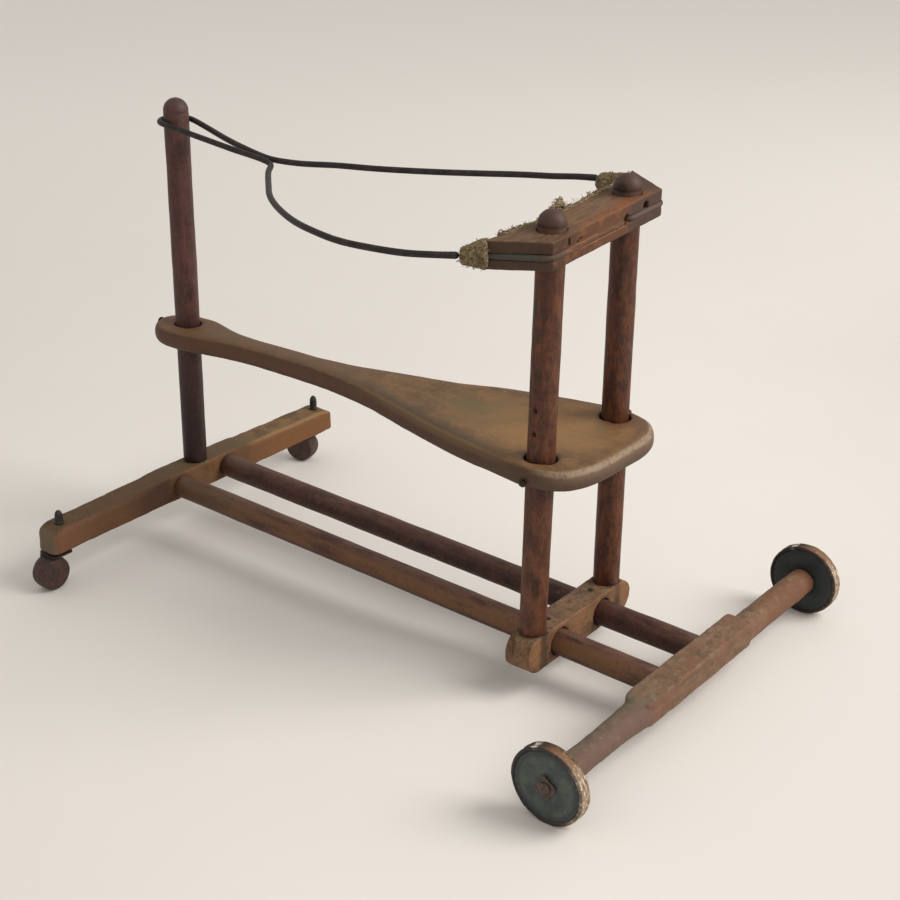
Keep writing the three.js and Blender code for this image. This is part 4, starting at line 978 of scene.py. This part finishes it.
wire_iron = Finish("guard wire")
rust = wire_iron.noise(9, detail=5, rough=0.6, seed=140)
grit = wire_iron.noise(0.9, detail=2, seed=141)
wire_iron.base("262222", "37302f", rust.rise(0.35, 0.65))
wire_iron.layers(("4e3a30", rust.rise(0.58, 0.72) * 0.6))
wire_iron.height = grit * 0.6 + rust
wire_iron.finish(0.42 + rust * 0.2, 0.2, metallic=0.4)

stained_wire = Finish("stained wire")
x, y = stained_wire.axis("X"), stained_wire.axis("Y")
streaks = stained_wire.noise((30, 4, 3), detail=3, rough=0.6, seed=145)
stained_wire.base("533521", "7a4f31", streaks.rise(0.4, 0.62))
stained_wire.layers(
    ("44362b", x.rise(56, 84) * 0.85),
    ("42413a", x.rise(88, 98) * 0.9),
    ("4c403e", x.rise(-26, -38) * 0.85),
    ("2b2727", x.rise(-84, -89) + y.rise(170, 164)))
stained_wire.height = streaks + stained_wire.noise(1.2, seed=146) * 0.5
stained_wire.finish(0.7, 0.3)

for node, name, body, finish, skin in (
        ("guard_hoop", "hoop", "guard_body", wire_iron, 0.4),
        ("guard_tail_left", "wire_tail_left", "frame", stained_wire, 0.2),
        ("guard_tail_right", "wire_tail_right", "frame", stained_wire, 0.2)):
    wire = copied(node, flat=False)
    applied(wire, "SUBSURF", levels=2, render_levels=2)
    applied(wire, "DISPLACE", strength=skin / 1000, mid_level=0)
    weathered(wire, (14, 0.15))
    fitted(wire, name, finish, body, "guard_wire", node)


# ---- The felt ----
# A strip of coarse felt nailed along the hollow of the backrest and turned over its upper edge,
# and a wad rolled round the wire at each front corner. All of it is frayed into loose fibres.

FELT_HALF = 100
FELT_T = 4
FELT_DROP = 26.5  # down the front edge of the board
RAGS = 62  # uneven steps along its upper edge
LOCK_X, LOCK_H = 8, 30  # a torn lock of felt that stands up and curls over
CORNER_X, CORNER_Y, HOLLOW = 118.5, -174, 11.5
rng = random.Random(4)

felt_finish = Finish("felt")
weave = felt_finish.noise((1.6, 3.2, 1.6), detail=3, rough=0.7, bend=1.2, seed=150)
tufts = felt_finish.noise(6, detail=4, rough=0.7, seed=151)
x = felt_finish.axis("X")
from_groove = felt_finish.axis("Z") + x * math.tan(BOARD_TILT) - GROOVE_Z
felt_finish.base("4b3e2b", "7b6a50", tufts.rise(0.34, 0.6))
felt_finish.layers(
    ("ad9b7c", weave.rise(0.5, 0.64) * 0.75),
    ("30291d", weave.rise(0.44, 0.34) * 0.6),
    ("9c8a6d", from_groove.rise(17, 20) * x.size().rise(60, 50) * 0.6))
felt_finish.height = weave + tufts * 0.5
felt_finish.finish(0.95, 1.0, specular=0.1)


def front_edge(x):
    """The hollow front of the board."""
    return CORNER_Y + HOLLOW * (1 - (x / CORNER_X) ** 2)


def curved(piece, length, bend):
    """Bends an upright piece over towards +X through an angle."""
    radius = length / bend
    for vertex in piece.data.vertices:
        angle, reach = vertex.co.z / radius, radius - vertex.co.x
        vertex.co.x, vertex.co.z = radius - reach * math.cos(angle), reach * math.sin(angle)
    return piece


def frayed(piece, amount, length, bend, rooted):
    """Adds loose bent fibres to a felt piece. rooted() gives the place of each of them."""
    fibre = turned([(0.26 - 0.03 * i, length * i / 7) for i in range(8)], 5)
    curved(fibre, length, bend)
    fibres = [piece]
    for _ in range(amount):
        single = linked("fibre", fibre.data.copy())
        fibres.append(placed(single, rooted() @ Matrix.Scale(rng.uniform(0.6, 1.15), 4)))
    bpy.data.objects.remove(fibre)
    only(*fibres)
    bpy.ops.object.join()
    return piece


def loose(foot, way):
    """A fibre's place: out of its foot in a direction, turned any way round."""
    return pointed(foot, way) @ Matrix.Rotation(rng.uniform(0, 2 * math.pi), 4, "Z")


bpy.ops.mesh.primitive_grid_add(x_subdivisions=160, y_subdivisions=24, size=1)
strip = placed(bpy.context.object, Matrix.Rotation(math.pi / 2, 4, "X"))
ragged = [rng.uniform(0, 1) for _ in range(RAGS + 2)]
for vertex in strip.data.vertices:
    x = vertex.co.x * 2 * FELT_HALF
    share = vertex.co.z + 0.5
    spot = (vertex.co.x + 0.5) * RAGS
    low = int(spot)
    fray = ragged[low] + (ragged[low + 1] - ragged[low]) * (spot - low)
    vertex.co = (x, front_edge(x) - 0.8, share * (FELT_DROP + 0.6 + 1.2 * fray) - FELT_DROP)
applied(strip, "SOLIDIFY", thickness=FELT_T, offset=-1)
opened(strip)
bpy.ops.mesh.normals_make_consistent(inside=False)
done()


def along_top():
    """A fibre of the edge that is turned over the top of the board."""
    x = rng.uniform(-FELT_HALF, FELT_HALF)
    foot = (x, front_edge(x) - rng.uniform(1, 4), 0.3)
    return loose(foot, (rng.uniform(-1.4, 1.4), rng.uniform(-0.2, 1.2), rng.uniform(0, 0.8)))


frayed(strip, 170, 4.6, 2.4, along_top)
lock = turned([(1.2, -2), (2.6, 1), (2.2, 4), (3.2, 7), (3.7, 10), (3.2, 13), (2.1, 16), (2.9, 19),
               (3.4, 22), (3.0, 25), (2.2, 28), (1.0, LOCK_H)], 20)
applied(lock, "SUBSURF", levels=1, render_levels=1)
curved(lock, LOCK_H, 2.9)
placed(lock, laid((LOCK_X, front_edge(LOCK_X) - 2.6, -1.5), 0.25, "Y"))
weathered(lock, (4000, 2500), (1600, 1200))
on_lock = sorted((tuple(vertex.co), tuple(vertex.normal)) for vertex in lock.data.vertices)
frayed(lock, 130, 5, 2.6, lambda: loose(*rng.choice(on_lock)))
only(strip, lock)
bpy.ops.object.join()
placed(strip, BOARD)
weathered(strip, (9, 1.6), (3, 0.8))
fitted(strip, "felt_edging", felt_finish, "frame", "felt", "felt_strip")

for side in SIDES:
    roll = placed(copied(f"felt_roll_{side}"), BOARD.inverted())
    fused(roll, 0.8, 4)
    skin = [(vertex.co.copy(), vertex.normal.copy()) for vertex in roll.data.vertices]

    def on_skin():
        """A fibre anywhere on the wad."""
        foot, out = rng.choice(skin)
        slack = Vector([rng.uniform(-1, 1) for _ in range(3)])
        return loose(foot - out * 0.3, out * 0.4 + slack)

    frayed(roll, 150, 4, 2.6, on_skin)
    placed(roll, BOARD)
    weathered(roll, (8, 1.6), (3, 0.8))
    fitted(roll, f"felt_wrap_{side}", felt_finish, "frame", "felt", f"felt_roll_{side}")


# ---- The studio ----
# A pale floor under a pale surround, a large soft window light from behind the walker's right
# side, and the camera. The floor is painted lighter far off and darker under the window to look
# even.

floor_finish = Finish("floor")
floor_finish.base("e4dfd8", "ebe6df", floor_finish.noise(400, seed=160))
x, y = floor_finish.axis("X"), floor_finish.axis("Y")
# Painted light: the floor is lighter away from the camera, making up for the window light's
# falloff.
floor_finish.layers(("f6f1ea", (x * -0.78 + y * -0.626).rise(500, 2600)))
# Painted shade: the floor is darker under the window, evening out the window light's pool.
along, across = x * -0.456 + y * 0.89, x * 0.89 + y * 0.456
under_window = along.rise(100, 1300) * along.rise(3300, 2300)
floor_finish.layers(("bcb7b1", under_window * across.rise(1900, 500) * across.rise(-1900, -500)))
floor_finish.height = floor_finish.noise(30, seed=161)
floor_finish.finish(0.7, 0.05, specular=0.2)
bpy.ops.mesh.primitive_plane_add(size=60)
floor = bpy.context.object
floor.name = "floor"
floor.data.materials.append(floor_finish.material)

world = bpy.data.worlds.new("surround")
world.use_nodes = True
bpy.context.scene.world = world
background = world.node_tree.nodes["Background"].inputs
background["Color"].default_value = paint("dfdcd9")
background["Strength"].default_value = 0.85

window_light = bpy.data.lights.new("window", "AREA")
window_light.shape = "RECTANGLE"
window_light.size, window_light.size_y = 1.65, 2.0
window_light.energy = 72
window_light.color = (1.0, 0.975, 0.945)
window = linked("window", window_light)
towards = Vector((-0.359, 0.701, 0.616))
window.matrix_world = pointed(Vector((0, 0, 0.2)) + towards * 3.0, towards)

camera_data = bpy.data.cameras.new("camera")
camera_data.sensor_width = 36
camera_data.lens = 66.03
camera = linked("camera", camera_data)
azimuth, elevation, lean = (math.radians(a) for a in (128.77, 23.9, -0.72))
back = (math.sin(azimuth) * math.cos(elevation), -math.cos(azimuth) * math.cos(elevation),
        math.sin(elevation))
aim = pointed((1.20545, 1.01655, 0.87654), back)
camera.matrix_world = aim @ Matrix.Rotation(lean, 4, "Z")
bpy.context.scene.camera = camera
bpy.context.scene.view_settings.view_transform = "Standard"
